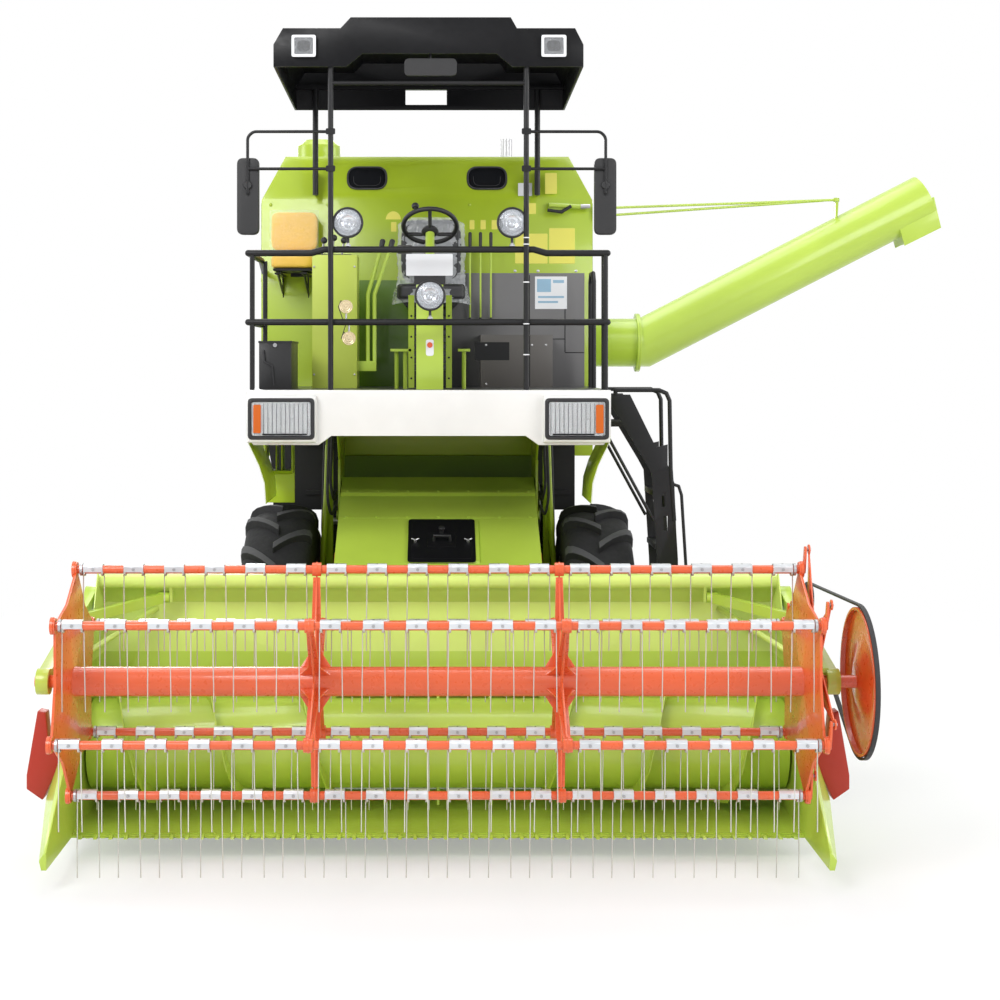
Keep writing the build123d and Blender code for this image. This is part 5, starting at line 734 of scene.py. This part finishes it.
seat_back = cushion((-236, 151), (203, 297), (2975, 3386), "seat", channels=(-0.35, 0.0, 0.35))
piping(seat_back, -42, 3180, 330, 350, 207, "seat")
make(seat_back, "seat_back_cushion", "machine", angle=70, replaces=["operator_seat"])
seat_base = cushion((-255, 170), (-166, 286), (2864, 2968), "seat", power=6.0)
piping(seat_base, -42, 2916, 400, 84, -160, "seat")
make(seat_base, "seat_cushion", "machine", angle=70)
suspension = Piece()
suspension.slab(oblong(-45, 2390.5, 266, 99, 12, 5), -58, 198, "y", "black")
for k in range(9):
    odd = k % 2
    fold = oblong(-45, 2462 + k * 42, 236 - 14 * odd, 36, 12)
    suspension.slab(fold, -44 + 8 * odd, 184 - 8 * odd, "y", "rubber")
tray = rounded_outline([(-190, 2826), (100, 2826), (130, 2862), (-220, 2862)], 8)
suspension.slab(tray, -120, 240, "y", "black")
for x in (-100, 16):
    suspension.tube([(x, 270, 2850), (x, 299, 2990), (x, 299, 3200)], 10, "black", 10)
make(suspension, "seat_suspension", "machine", soften=1.5)


def wrap(name, rows, columns, spot, name_of_paint="wrap"):
    """Crinkled sheet from a grid of places."""
    piece = Piece()
    piece.grid(rows, columns, lambda i, j: spot(i / rows, j / columns), name_of_paint)
    item = make(piece, name, "machine", angle=25)


def crinkle(p, size, depth):
    n = noise.noise(Vector(p) * (1 / size)) + 0.5 * noise.noise(Vector(p) * (2.3 / size) + Vector((7, 3, 1)))
    return abs(n) * depth


def seat_wrap(s, t):
    """Bag over the seat back and the cushion: s runs from the top to the skirt, t goes round."""
    a = radians(-200 + 220 * t)
    if s < 0.66:
        z = 3392 - s / 0.66 * 420
        wide, deep, y0 = 203, 54, 250
    else:
        drop = (s - 0.66) / 0.34
        z = 2972 - drop * 125
        wide, deep, y0 = 205 + 32 * drop, 54 + 190 * min(1, drop * 3), 250 - 190 * min(1, drop * 3)
    top = min(1, s / 0.06)
    x = -42 + cos(a) * wide * (0.55 + 0.45 * top)
    y = y0 + sin(a) * deep * (0.3 + 0.7 * top) * (1 if sin(a) > 0 else 1.05)
    p = Vector((x, y, z))
    out = Vector((cos(a), sin(a), 0))
    flare = 14 * max(0, s - 0.8) * sin(9 * a)
    return p + out * (crinkle(p, 46, 16) + 2 + flare) + Vector((0, 0, 6 * sin(5 * a) * s))


wrap("seat_wrap", 60, 96, seat_wrap)

spare_back = cushion((-1050, -754), (344, 416), (3192, 3438), "yellow", power=6.0)
piping(spare_back, -902, 3315, 250, 200, 349, "yellow", 2.6)
make(spare_back, "helper_back_cushion", "machine", angle=70, replaces=["helper_seat"])
spare_base = cushion((-1028, -752), (44, 412), (3068, 3148), "yellow", power=6.0)
make(spare_base, "helper_cushion", "machine", angle=70)
bracket = Piece()
for x in (-980, -820):
    bracket.box((x - 20, x + 20), (60, 449), (3032, 3042), "black")
    bracket.slab([(449, 3030), (449, 2900), (400, 3030)], x - 3, x + 3, "x", "black")
    bracket.tube([(x, 70, 3036), (x, 440, 2930)], 8, "black", 8)
bracket.slab(oblong(-890, 3060, 240, 16, 4, 5), 70, 400, "y", "black")
bracket.box((-930, -850), (419, 449), (3032, 3400), "black")
make(bracket, "helper_seat_bracket", "machine", soften=1)


def spare_wrap(s, t):
    p = Vector((-1056 + 308 * t, 340 - 10 * sin(pi * t), 3448 - 262 * s))
    return p + -Y * crinkle(p, 38, 22)


wrap("helper_wrap", 46, 54, spare_wrap, "thin_wrap")


# Tank front: window panes and rims, blank labels and the stay clamp
tank = Piece()
for x in (-452, 312):
    slope = [(a, TANK_FRONT_Y + (b - 3520) * 140 / 290, b) for a, b in oblong(x, WINDOW_Z, 246, 146, 73, 10)]
    n = len(slope)
    tank.put([(a, y + 12, b) for a, y, b in slope] + [(a, y + 9, b) for a, y, b in slope],
             [tuple(range(n)), tuple(range(n, 2 * n))[::-1]], "window")
    tank.tube([(a, y + 1, b) for a, y, b in slope], 7, "rubber", 8, loop=True)
    tank.tube([(a + (x - a) * 0.3, y + 8, b + (WINDOW_Z - b) * 0.3) for a, y, b in slope], 2, "plastic", 6,
              loop=True)
LABEL_FACE = (TANK_FRONT_Y - 1.4, TANK_FRONT_Y - 0.4)
tank.slab(oblong(551, 3586.1, 88.2, 81.9, 6), *LABEL_FACE, "y", "card")
for x, z, width, height in (
    (715.6, 3624.1, 75.6, 132.3), (595.3, 3465.8, 50.4, 69.3), (215.3, 3362.9, 31.5, 59.9),
    (285.9, 3362.9, 33.4, 59.9), (357.2, 3362.9, 36.5, 59.9), (591.2, 3211.8, 206, 190.3),
    (785.3, 3229.2, 163.8, 224.9), (-279.9, 3349.3, 35.3, 61.7),
):
    tank.slab(oblong(x, z, width, height, 6), *LABEL_FACE, "y", "label")
arc = [(-283.1 + 48 * cos(radians(a)), 3396.1 + 52 * sin(radians(a))) for a in range(0, 181, 12)]
tank.slab(arc, *LABEL_FACE, "y", "label")
for x in (-1060, -700, 200, 560, 920):
    tank.turn([(0, 0), (0, 11), (5, 11), (7, 7), (7, 0)], (x, TANK_FRONT_Y, 3490), -Y, "lime", 6)
# Painted light: the stay clamp uses the lighter, lit copy of the lime green
tank.slab([(700, 3455), (820, 3455), (850, 3500), (700, 3500)], 420, 449.5, "y", "bright")
tank.tube([(700, 410, 3485), (960, 410, 3470)], 14, "bright")
tank.tube([(690, 404, 3452), (780, 404, 3440), (840, 400, 3478)], 11, "plastic", 10)
tank.turn([(0, 16), (60, 16), (60, 0)], (900, 410, 3474), X, "steel", 14)
for x in (742, 815):
    tank.turn([(0, 10), (14, 10), (14, 0)], (x, 420, 3480), -Y, "steel", 6)
make(tank, "tank_front_fittings", "machine", soften=0.8)

# Panels: door seams, a printed card and screws on the grey panel, levers, column trim and post bands
panel = Piece()
for xs, zs in (((569.7, 574.9), (2637.6, 3037.9)), ((572.3, 794.4), (2635.0, 2640.2)),
               ((791.8, 797.0), (2556.3, 3031.7)), ((794.4, 913.2), (2549.9, 2555.1))):
    panel.box(xs, (308.4, 309.6), zs, "black")
panel.box((606.7, 806.9), (308.2, 309), (2825.3, 3028.5), "card")
for xs, zs in (((619.2, 706.8), (2931.6, 3012.9)), ((719.3, 788.1), (2987.9, 3006.7)),
               ((625.5, 788.1), (2894.1, 2906.6)), ((625.5, 750.6), (2862.8, 2875.3))):
    panel.box(xs, (307.4, 308.2), zs, "sky")
for x in (162.6, 481.6, 625.5, 863.2):
    panel.turn([(0, 0), (0, 9), (4, 9), (6, 5), (6, 0)], (x, 310, 3063), -Y, "steel", 12)
for x, z in ((292.8, 2597.6), (536.8, 2597.6), (573.4, 2597.6), (658.8, 2597.6), (292.8, 2359.7),
             (536.8, 2359.7)):
    panel.turn([(0, 0), (0, 7), (3, 7), (4, 4), (4, 0)], (x, 30, z), -Y, "steel", 10)
panel.box((556, 562), (29, 30.5), (FLOOR_Z, 2655), "black")
panel.slab(oblong(330, 2560, 210, 110, 4), 28.6, 29.8, "y", "black")
for x in (200, 265, 330):
    panel.turn([(-12, 0), (-12, 8), (0, 10), (96, 11), (104, 7), (104, 0)], (x, 280, 3200), Z, "plastic", 14)
for x, lean in ((-345, 60), (-290, 75)):
    panel.turn([(-10, 0), (-10, 11), (10, 15), (62, 17), (72, 10), (72, 0)], (x, -160, 3160), (lean, 0, 260),
               "plastic", 16)
for x, z in ((-700, 3150), (-640, 3165), (-580, 3150)):
    panel.tube([(x, -120, 3128), (x + 14, -140, z + 60)], 6, "steel", 10)
    panel.ball((x + 16, -142, z + 74), 20, "plastic", 16)
panel.slab(oblong(-615, 3131, 200, 8, 3), -240, 40, "y", "black")
for x in (-735, -495):
    for z in (2420, 3060):
        panel.turn([(0, 0), (0, 6), (5, 6), (6, 3), (6, 0)], (x, -260, z), -Y, "steel", 10)
panel.slab(oblong(-48, 3040, 262, 122, 6), -840, -836, "y", "card")
panel.slab(oblong(COLUMN_X, 2960, 176, 60, 10), -836, -826, "y", "plastic")
panel.slab(oblong(COLUMN_X, 2575, 44, 92, 14), -831.5, -830.2, "y", "card")
panel.turn([(0, 16), (6, 15), (6, 0)], (COLUMN_X, -831, 2590), -Y, "orange", 20)
panel.turn([(0, 0), (0, 36), (70, 36), (80, 22), (170, 22), (170, 0)], (COLUMN_X, -640, 3105), COLUMN_AXIS,
           "grey", 20)
panel.tube([(-76, -610, 3150), (-170, -600, 3140)], 6, "plastic", 8)
panel.slab(oblong(-190, 3140, 84, 50, 8), -612, -588, "y", "dark_grey")
for x1, x2 in ((-171, -137), (46, 80)):
    panel.box((x1, x2), (-560, -550), (FLOOR_Z, 2880), "lime")
    for z in (2400, 2520, 2640, 2760):
        panel.disc(((x1 + x2) / 2, -560, z), -Y, 6, 3, "black", 10)
for z in (3180, 3144, 2935, 2705, 2535):
    panel.turn([(-3, BAND_R - 3), (-3, BAND_R), (3, BAND_R), (3, BAND_R - 3)], (POST_XS[1], POST_Y, z), Z,
               "card", 20)
panel.box((-1019, -828), (-738, -261), (2602, 2614), "plastic")
panel.tube([(-990, -737, 2560), (-985, -745, 2500), (-940, -742, 2470), (-930, -737, 2360)], 7, "rubber", 8)
panel.disc((-924, -735, 2590), -Y, 12, 8, "steel", 10)
make(panel, "panel_fittings", "machine", soften=0.8)


# Feeder: inspection cover with handle and wing bolts, seams, bolt rows, hoses, side pulleys and belts
SLOPE_UP = Vector((0, -FEEDER_SLOPE, 1)).normalized()


def feeder_spot(x, y, lift):
    """Point above the feeder's sloping top."""
    return Vector((x, y, FEEDER_Z + (y - FEEDER_Y) * FEEDER_SLOPE)) + SLOPE_UP * lift


feeder = Piece()
for x_low, x_high, y_low, y_high, low, high, name, corner in (
    (-172, 214, -828, -412, 12, 17, "gloss_black", 20), (-150, 192, -806, -434, 17, 20, "gloss_black", 30),
    # Painted light: the seam strips use the lighter, lit copy of the lime green
    (-60, 102, -700, -560, 20, 25, "gloss_black", 20), (-583, 583, -380, -360, 0.5, 3, "bright", 2),
    (-583, 583, -150, -120, 0.5, 26, "bright", 2),
):
    outline = oblong((x_low + x_high) / 2, (y_low + y_high) / 2, x_high - x_low, y_high - y_low, corner, 4)
    feeder.prism(*[[feeder_spot(a, b, lift) for a, b in outline] for lift in (low, high)], name)
feeder.tube([feeder_spot(-24, -640, 22), feeder_spot(-20, -640, 58), feeder_spot(66, -640, 58),
             feeder_spot(70, -640, 22)], 8, "plastic")
for x in (-130, 172):
    feeder.turn([(16, 0), (16, 9), (34, 9), (36, 6), (36, 0)], feeder_spot(x, -640, 0), SLOPE_UP,
                "steel", 12)
    feeder.tube([feeder_spot(x - 22, -640, 40), feeder_spot(x, -640, 30), feeder_spot(x + 22, -640, 40)],
                4.5, "steel", 8)
feeder.turn([(18, 0), (18, 12), (46, 12), (52, 18), (60, 18), (64, 10), (64, 0)], feeder_spot(21, -560, 0),
            SLOPE_UP, "plastic", 16)
# Painted light: the bolt rows use the lighter, lit copy of the lime green
for x in range(-540, 541, 180):
    for y in (-960, -370):
        feeder.turn([(2, 0), (2, 9), (8, 9), (9, 6), (9, 0)], feeder_spot(x, y, 0), SLOPE_UP, "bright", 6)
    feeder.disc(feeder_spot(x, -135, 25), SLOPE_UP, 8, 6, "bright", 6)
for side in (-1, 1):
    x = side * 606
    feeder.tube(rounded([(side * 596, -960, 1080), (side * 606, -700, 1120), (side * 608, -330, 1270),
                         (side * 596, -170, 1340)], 60), 10, "rubber", 10)
    feeder.turn([(-9, 0), (-9, 96), (9, 96), (9, 84), (4, 80), (4, 30), (10, 30), (10, 0)], (x, -860, 980),
                X, "orange", 36)
    feeder.turn([(-9, 0), (-9, 60), (9, 60), (9, 50), (4, 48), (4, 20), (10, 20), (10, 0)], (x, -240, 1300),
                X, "orange", 30)
    for a, b, c, d in ((-0.46, 0.89, -0.46, 0.89), (0.46, -0.89, 0.40, -0.91)):
        feeder.tube([(x, -240 + 60 * a, 1300 + 60 * b), (x, -860 + 96 * c, 980 + 96 * d)], 5, "rubber", 8)
make(feeder, "feeder_fittings", "header", soften=0.8)


# Under the platform: black plates and bars that paint the shade behind the front wheels, braces and hoses
# beside the feeder, and the split drive pulley
SHADE_PLATES = {
    -1: [(599, 900), (722, 900), (722, 1565), (1036, 1565), (1040, 1800), (1078, 2030), (1078, 2297),
         (599, 2297)],
    1: [(599, 900), (722, 900), (722, 1565), (860, 1565), (860, 2297), (599, 2297)],
}
shade_plates_and_fittings = Piece()
# Painted shade: black plates and bars stand in for the shade between the front wheels and the body
for side, outline in SHADE_PLATES.items():
    shade_plates_and_fittings.slab([(side * x, z) for x, z in outline], 368, 374, "y", "black")
    for z in (1660, 1960, 2240):
        shade_plates_and_fittings.box((side * 630, side * 830), (350, 368), (z, z + 30), "black")
    shade_plates_and_fittings.tube([(side * 668, -20, 1990), (side * 676, -40, 1700), (side * 718, 0, 990)], 17, "lime", 14)
    shade_plates_and_fittings.disc((side * 718, 0, 984), Z, 30, 14, "lime", 16)
    for x, y, low in ((640, -120, 1640), (655, -180, 1560), (690, 120, 1180), (708, 200, 1300)):
        path = [(side * x, y, 2296), (side * (x - 8), y + 10, 2120), (side * (x + 10), y + 20, low + 120),
                (side * (x - 12), y + 80, low), (side * 622, y + 190, low + 60)]
        shade_plates_and_fittings.tube(rounded(path, 90, 8), 9, "rubber", 10)
    shade_plates_and_fittings.tube([(side * 600, 300, 1500), (side * 700, 300, 1500)], 22, "steel", 14)
for profile, x, name, steps in (
    ([(-3, 30), (-3, 186), (3, 186), (9, 126), (6, 30)], 626, "steel", 40),
    ([(-3, 30), (-3, 186), (3, 186), (-9, 126), (6, 30)], 656, "steel", 40),
    ([(-30, 0), (-30, 36), (48, 36), (52, 22), (52, 0)], 640, "orange", 28),
    ([(-12, 130), (-13, 158), (13, 158), (12, 130)], 641, "rubber", 40),
):
    shade_plates_and_fittings.turn(profile, (x, *SPLIT_PULLEY), X, name, steps)
make(shade_plates_and_fittings, "painted_shade_plates", "machine", soften=1.5)

drives = Piece()


def pulley(x, y, z, radius, width, hub):
    """Grooved pulley with a dished web, about X."""
    w, rim_in = width / 2, radius - 22
    outline = [(-w, hub), (-w, hub + 14), (-w * 0.4, hub + 22), (-w * 0.4, rim_in), (-w, rim_in),
               (-w, radius), (-w + 3, radius), (-w * 0.5, radius - 12), (w * 0.5, radius - 12),
               (w - 3, radius), (w, radius), (w, rim_in), (w * 0.4, rim_in), (w * 0.4, hub + 22),
               (w, hub + 14), (w, hub), (w + 10, hub), (w + 10, 0)]
    drives.turn(outline, (x, y, z), X, "orange", 48)
    hole_r = (rim_in - hub) * 0.22
    for a, b in circle(6, (hub + 22 + rim_in) / 2):
        drives.turn([(0.6, 0), (0.6, hole_r), (0, hole_r)], (x + w * 0.4, y + a, z + b), X, "black", 16)
    drives.turn([(w + 6, 0), (w + 6, 15), (w + 20, 15), (w + 22, 10), (w + 22, 0)], (x, y, z), X, "steel", 6)


def belt_ring(first, second, outer):
    """Closed (y, z) line of an open belt round two pulleys, outer mm outside their rims."""
    (y1, z1, r1), (y2, z2, r2) = first, second
    heading = atan2(z2 - z1, y2 - y1)
    tilt = asin((r2 - r1) / hypot(y2 - y1, z2 - z1))
    ring = []
    for y, z, r, start, sweep in ((y2, z2, r2 + outer, heading - pi / 2 - tilt, pi + 2 * tilt),
                                  (y1, z1, r1 + outer, heading + pi / 2 + tilt, pi - 2 * tilt)):
        for k in range(25):
            a = start + sweep * k / 24
            ring.append((y + r * cos(a), z + r * sin(a)))
    return ring


def belt(x, first, second, width, thick):
    inner, outer = belt_ring(first, second, -thick), belt_ring(first, second, -1)
    lanes = ((inner, width / 2 - 3), (inner, 3 - width / 2), (outer, -width / 2), (outer, width / 2),
             (inner, width / 2 - 3))
    drives.loft([[(x + shift, y, z) for y, z in ring] for ring, shift in lanes], "rubber")


for side, belt_x, small, large in (
    (1, 640, (900, 1150, 120), (1700, 1560, 260)), (1, 690, (1700, 1560, 150), (2700, 1350, 200)),
    (-1, 640, (1000, 1250, 140), (1330, 1650, 180)), (-1, 640, (2500, 1200, 120), (3050, 1500, 240)),
):
    for y, z, r in (small, large):
        pulley(side * belt_x, y, z, r - 2, 30, 30)
        drives.tube([(side * 600, y, z), (side * (belt_x + 14), y, z)], 27, "steel", 20)
    belt(side * belt_x, small, large, 24, 11)
make(drives, "belt_drives", "machine", soften=0.8, angle=35, replaces=["side_drives"])


# Reel: flat-bar flanges on the spider arms, ribs and bolts on the end plates
ribs = Piece()
for side in (-1, 1):
    centre = Vector((side * SPIDER_X, REEL_Y, REEL_Z))
    plate = Vector((side * (BAT_HALF + 0.5), REEL_Y, REEL_Z))
    for turn in BAT_ANGLES:
        a = radians(turn)
        out = Vector((0, -cos(a), sin(a)))
        across = Vector((0, sin(a), cos(a)))
        for ends in (((68, 60), (150, 26)), ((150, 26), (496, 17))):
            rings = []
            for r, half in ends:
                corners = ((-half, -4), (half, -4), (half, 4), (-half, 4))
                rings.append([centre + out * r + X * a + across * b for a, b in corners])
            ribs.prism(*rings, "orange")
        ribs.turn([(-22, 23), (-22, 33), (22, 33), (22, 23)], centre + out * BAT_CIRCLE_R, X, "orange", 24)
        for shift in (-34, 34):
            start, end = plate + out * 120 + across * shift, plate + out * 440 + across * shift * 0.45
            ribs.tube([start, end], 8, "orange", 8)
        ribs.turn([(-6, 24), (-6, 40), (9, 40), (9, 24)], plate + out * BAT_CIRCLE_R, X * side, "orange", 24)
    x = side * (BAT_HALF + 1)
    ribs.turn([(0, 0), (0, 30), (2, 90), (10, 92), (10, 100), (-4, 100)], (x, REEL_Y, REEL_Z), X * side,
              "orange", 40)
    for a, b in circle(8, 70):
        ribs.turn([(4, 0), (4, 9), (12, 9), (14, 6), (14, 0)], (x, REEL_Y + a, REEL_Z + b), X * side,
                  "steel", 6)
make(ribs, "reel_ribs", "reel", soften=1)


# Wheels: hub cap and wheel bolts on each rim
for side_name, side in (("right", -1), ("left", 1)):
    for end_name, x, y, z, hub, bolt_r, count in (
        ("front", 945, 0, FRONT_R, 60, 160, 8), ("rear", 830, REAR_AXLE_Y, REAR_R, 30, 62, 5),
    ):
        bolts = Piece()
        for a, b in circle(count, bolt_r):
            bolts.turn([(-34, 0), (-34, 13), (-14, 13), (-12, 8), (-2, 8), (-2, 0)],
                       (side * x, y + a, z + b), X * side, "steel", 6)
        bolts.turn([(-4, hub + 8), (1, hub + 6), (8, hub - 4), (12, hub * 0.5), (13, 0)], (side * x, y, z),
                   X * side, "orange", 28)
        make(bolts, f"{end_name}_{side_name}_bolts", f"{end_name}_{side_name}_wheel", soften=0.8)


# Rear and sides: tail lamps, screen mesh, side seams, latches, tank battens and the tank's ladder
rear = Piece()
for side in (-1, 1):
    x = side * TAIL_LAMP_X
    rear.slab(oblong(x, 1400, 150, 84, 10), HOOD_REAR_Y - 1, HOOD_REAR_Y + 16, "y", "plastic")
    rear.slab(oblong(x + side * 40, 1400, 56, 66, 8), HOOD_REAR_Y + 16, HOOD_REAR_Y + 23, "y", "red")
    rear.slab(oblong(x - side * 28, 1400, 56, 66, 8), HOOD_REAR_Y + 16, HOOD_REAR_Y + 22, "y", "amber")
rear.slab(oblong(0, 1420, 340, 110, 8), HOOD_REAR_Y - 1, HOOD_REAR_Y + 4, "y", "card")
for x in (-300, 0, 300):
    rear.box((x - 3, x + 3), (HOOD_REAR_Y - 2, HOOD_REAR_Y + 6), (1265, 1545), "lime")
for r in (60, 130, 200, 270):
    ring = [(SCREEN_X - 6, SCREEN_Y + a, SCREEN_Z + b) for a, b in circle(48, r)]
    rear.tube(ring, 4, "steel", 6, loop=True)
for ends in zip(circle(16, 40), circle(16, 312)):
    rear.tube([(SCREEN_X - 5, SCREEN_Y + a, SCREEN_Z + b) for a, b in ends], 3, "steel", 6)
rear.turn([(0, 0), (0, 60), (10, 60), (22, 40), (26, 0)], (SCREEN_X, SCREEN_Y, SCREEN_Z), -X, "orange", 28)
for y in (2550, 3150):
    for z in (2080, 2640):
        rear.disc((-620, y, z), -X, 12, 8, "steel")
for side, edge in TANK_SIDES.items():
    for y in range(620, 3300, 420):
        rear.box((side * BODY_HALF, side * (BODY_HALF + 6)), (y, y + 8), (1010, 1880), "lime")
    for y, z in ((3500, 1500), (4000, 1500), (4500, 1420)):
        rear.box((side * BODY_HALF, side * (BODY_HALF + 8)), (y, y + 60), (z - 60, z + 60), "black")
        rear.tube([(side * 612, y + 12, z), (side * 620, y + 30, z), (side * 612, y + 48, z)], 5, "steel", 8)
    for y in (476, 2116):
        rear.box((edge, edge + side * 5), (y, y + 8), (1920, 3500), "lime")
    for z in (2480, 3000):
        rear.box((edge, edge + side * 7), (480, 2120), (z, z + 26), "lime")
for x, y, corner in ((820, 2190, 30), (560, 2165, 14)):
    path = [(x, 2151, 2600), (x, y, 2600), (x, y, 3400), (x, 2151, 3400)]
    rear.tube(rounded(path, corner), 11, "black", 10)
for z in range(2700, 3400, 230):
    rear.tube([(560, 2165, z), (820, 2190, z)], 11, "black", 10)
make(rear, "rear_fittings", "machine", soften=1)


# Camera, floor and light
def place(x, y, z):
    """Machine millimetres to row metres."""
    return Vector(((x - ORIGIN[0]) / 1000, (y - ORIGIN[1]) / 1000, (z - ORIGIN[2]) / 1000))


def stand(name, data, position, turned):
    item = bpy.data.objects.new(name, data)
    item.location = place(*position)
    item.rotation_euler = turned
    bpy.context.scene.collection.objects.link(item)
    return item


camera_data = bpy.data.cameras.new("camera")
camera_data.lens = CAMERA_LENS
camera_data.sensor_width = 36
camera_data.shift_x, camera_data.shift_y = CAMERA_SHIFT
camera_data.clip_end = 200
bpy.context.scene.camera = stand("camera", camera_data, CAMERA_SPOT, (radians(90), 0, 0))

for name, position, target, size, power in (
    ("key", (-5200, -9000, 8200), (0, -500, 1700), 5.0, 760),
    ("fill", (7500, -8000, 5200), (0, -500, 1700), 5.0, 400),
    ("top", (0, 1500, 10500), (0, 1000, 0), 7.0, 480),
    ("rear", (-2000, 12500, 7000), (0, 2500, 1500), 5.0, 600),
    ("right side", (-12500, 2500, 5000), (0, 1500, 1500), 5.0, 420),
    ("left side", (13500, 3500, 5000), (0, 1500, 1500), 5.0, 420),
):
    data = bpy.data.lights.new(name, "AREA")
    data.shape = "SQUARE"
    data.size = size
    data.energy = power
    aim = place(*target) - place(*position)
    stand(name, data, position, aim.to_track_quat("-Z", "Y").to_euler())


def shining(tree, kind, colour, strength):
    """Light-giving shader."""
    shader = tree.nodes.new(kind)
    link(tree, colour, shader.inputs["Color"])
    link(tree, strength, shader.inputs["Strength"])
    return shader.outputs[0]


def blended(tree, factor, first, second, surface):
    """Mix two shaders into an output's surface."""
    mix = tree.nodes.new("ShaderNodeMixShader")
    for socket, value in zip(mix.inputs, (factor, first, second)):
        link(tree, value, socket)
    link(tree, mix.outputs[0], surface)


# The world is white to the camera and in reflections, and dimmer as a light
world = bpy.data.worlds.new("studio")
bpy.context.scene.world = world
world.use_nodes = True
sky = world.node_tree
sky.nodes.clear()
rays = sky.nodes.new("ShaderNodeLightPath").outputs
seen = calc(sky, "MAXIMUM", rays["Is Camera Ray"], rays["Is Glossy Ray"])
seen = calc(sky, "MAXIMUM", seen, rays["Is Transmission Ray"])
blended(sky, seen, shining(sky, "ShaderNodeBackground", (0.93, 0.95, 1.0), 0.48),
        shining(sky, "ShaderNodeBackground", (1, 1, 1), 1.0),
        sky.nodes.new("ShaderNodeOutputWorld").inputs[0])

# The floor fades into the white far from the machine
floor_mesh = bpy.data.meshes.new("floor")
corners = [(x, y, -0.002) for x, y in ((-60, -60), (60, -60), (60, 60), (-60, 60))]
floor_mesh.from_pydata(corners, [], [(0, 1, 2, 3)])
floor_paint = bpy.data.materials.new("pale floor")
floor_paint.use_nodes = True
tree = floor_paint.node_tree
shader = tree.nodes["Principled BSDF"]
spot = tree.nodes.new("ShaderNodeTexCoord").outputs["Object"]
link(tree, (0.86, 0.86, 0.86), shader.inputs["Base Color"])
link(tree, ranged(tree, noise_node(tree, spot, 0.8), 0.8, 1.0), shader.inputs["Roughness"])
far = tree.nodes.new("ShaderNodeVectorMath")
far.operation = "LENGTH"
link(tree, spot, far.inputs[0])
seen = tree.nodes.new("ShaderNodeLightPath").outputs["Is Camera Ray"]
fade = calc(tree, "MULTIPLY", ranged(tree, far.outputs["Value"], 0.35, 1, 3.0, 7.5), seen)
blended(tree, fade, shader.outputs[0], shining(tree, "ShaderNodeEmission", (1, 1, 1), 1.0),
        tree.nodes["Material Output"].inputs["Surface"])
floor_mesh.materials.append(floor_paint)
floor = bpy.data.objects.new("floor", floor_mesh)
bpy.context.scene.collection.objects.link(floor)

bpy.context.scene.view_settings.view_transform = "Standard"
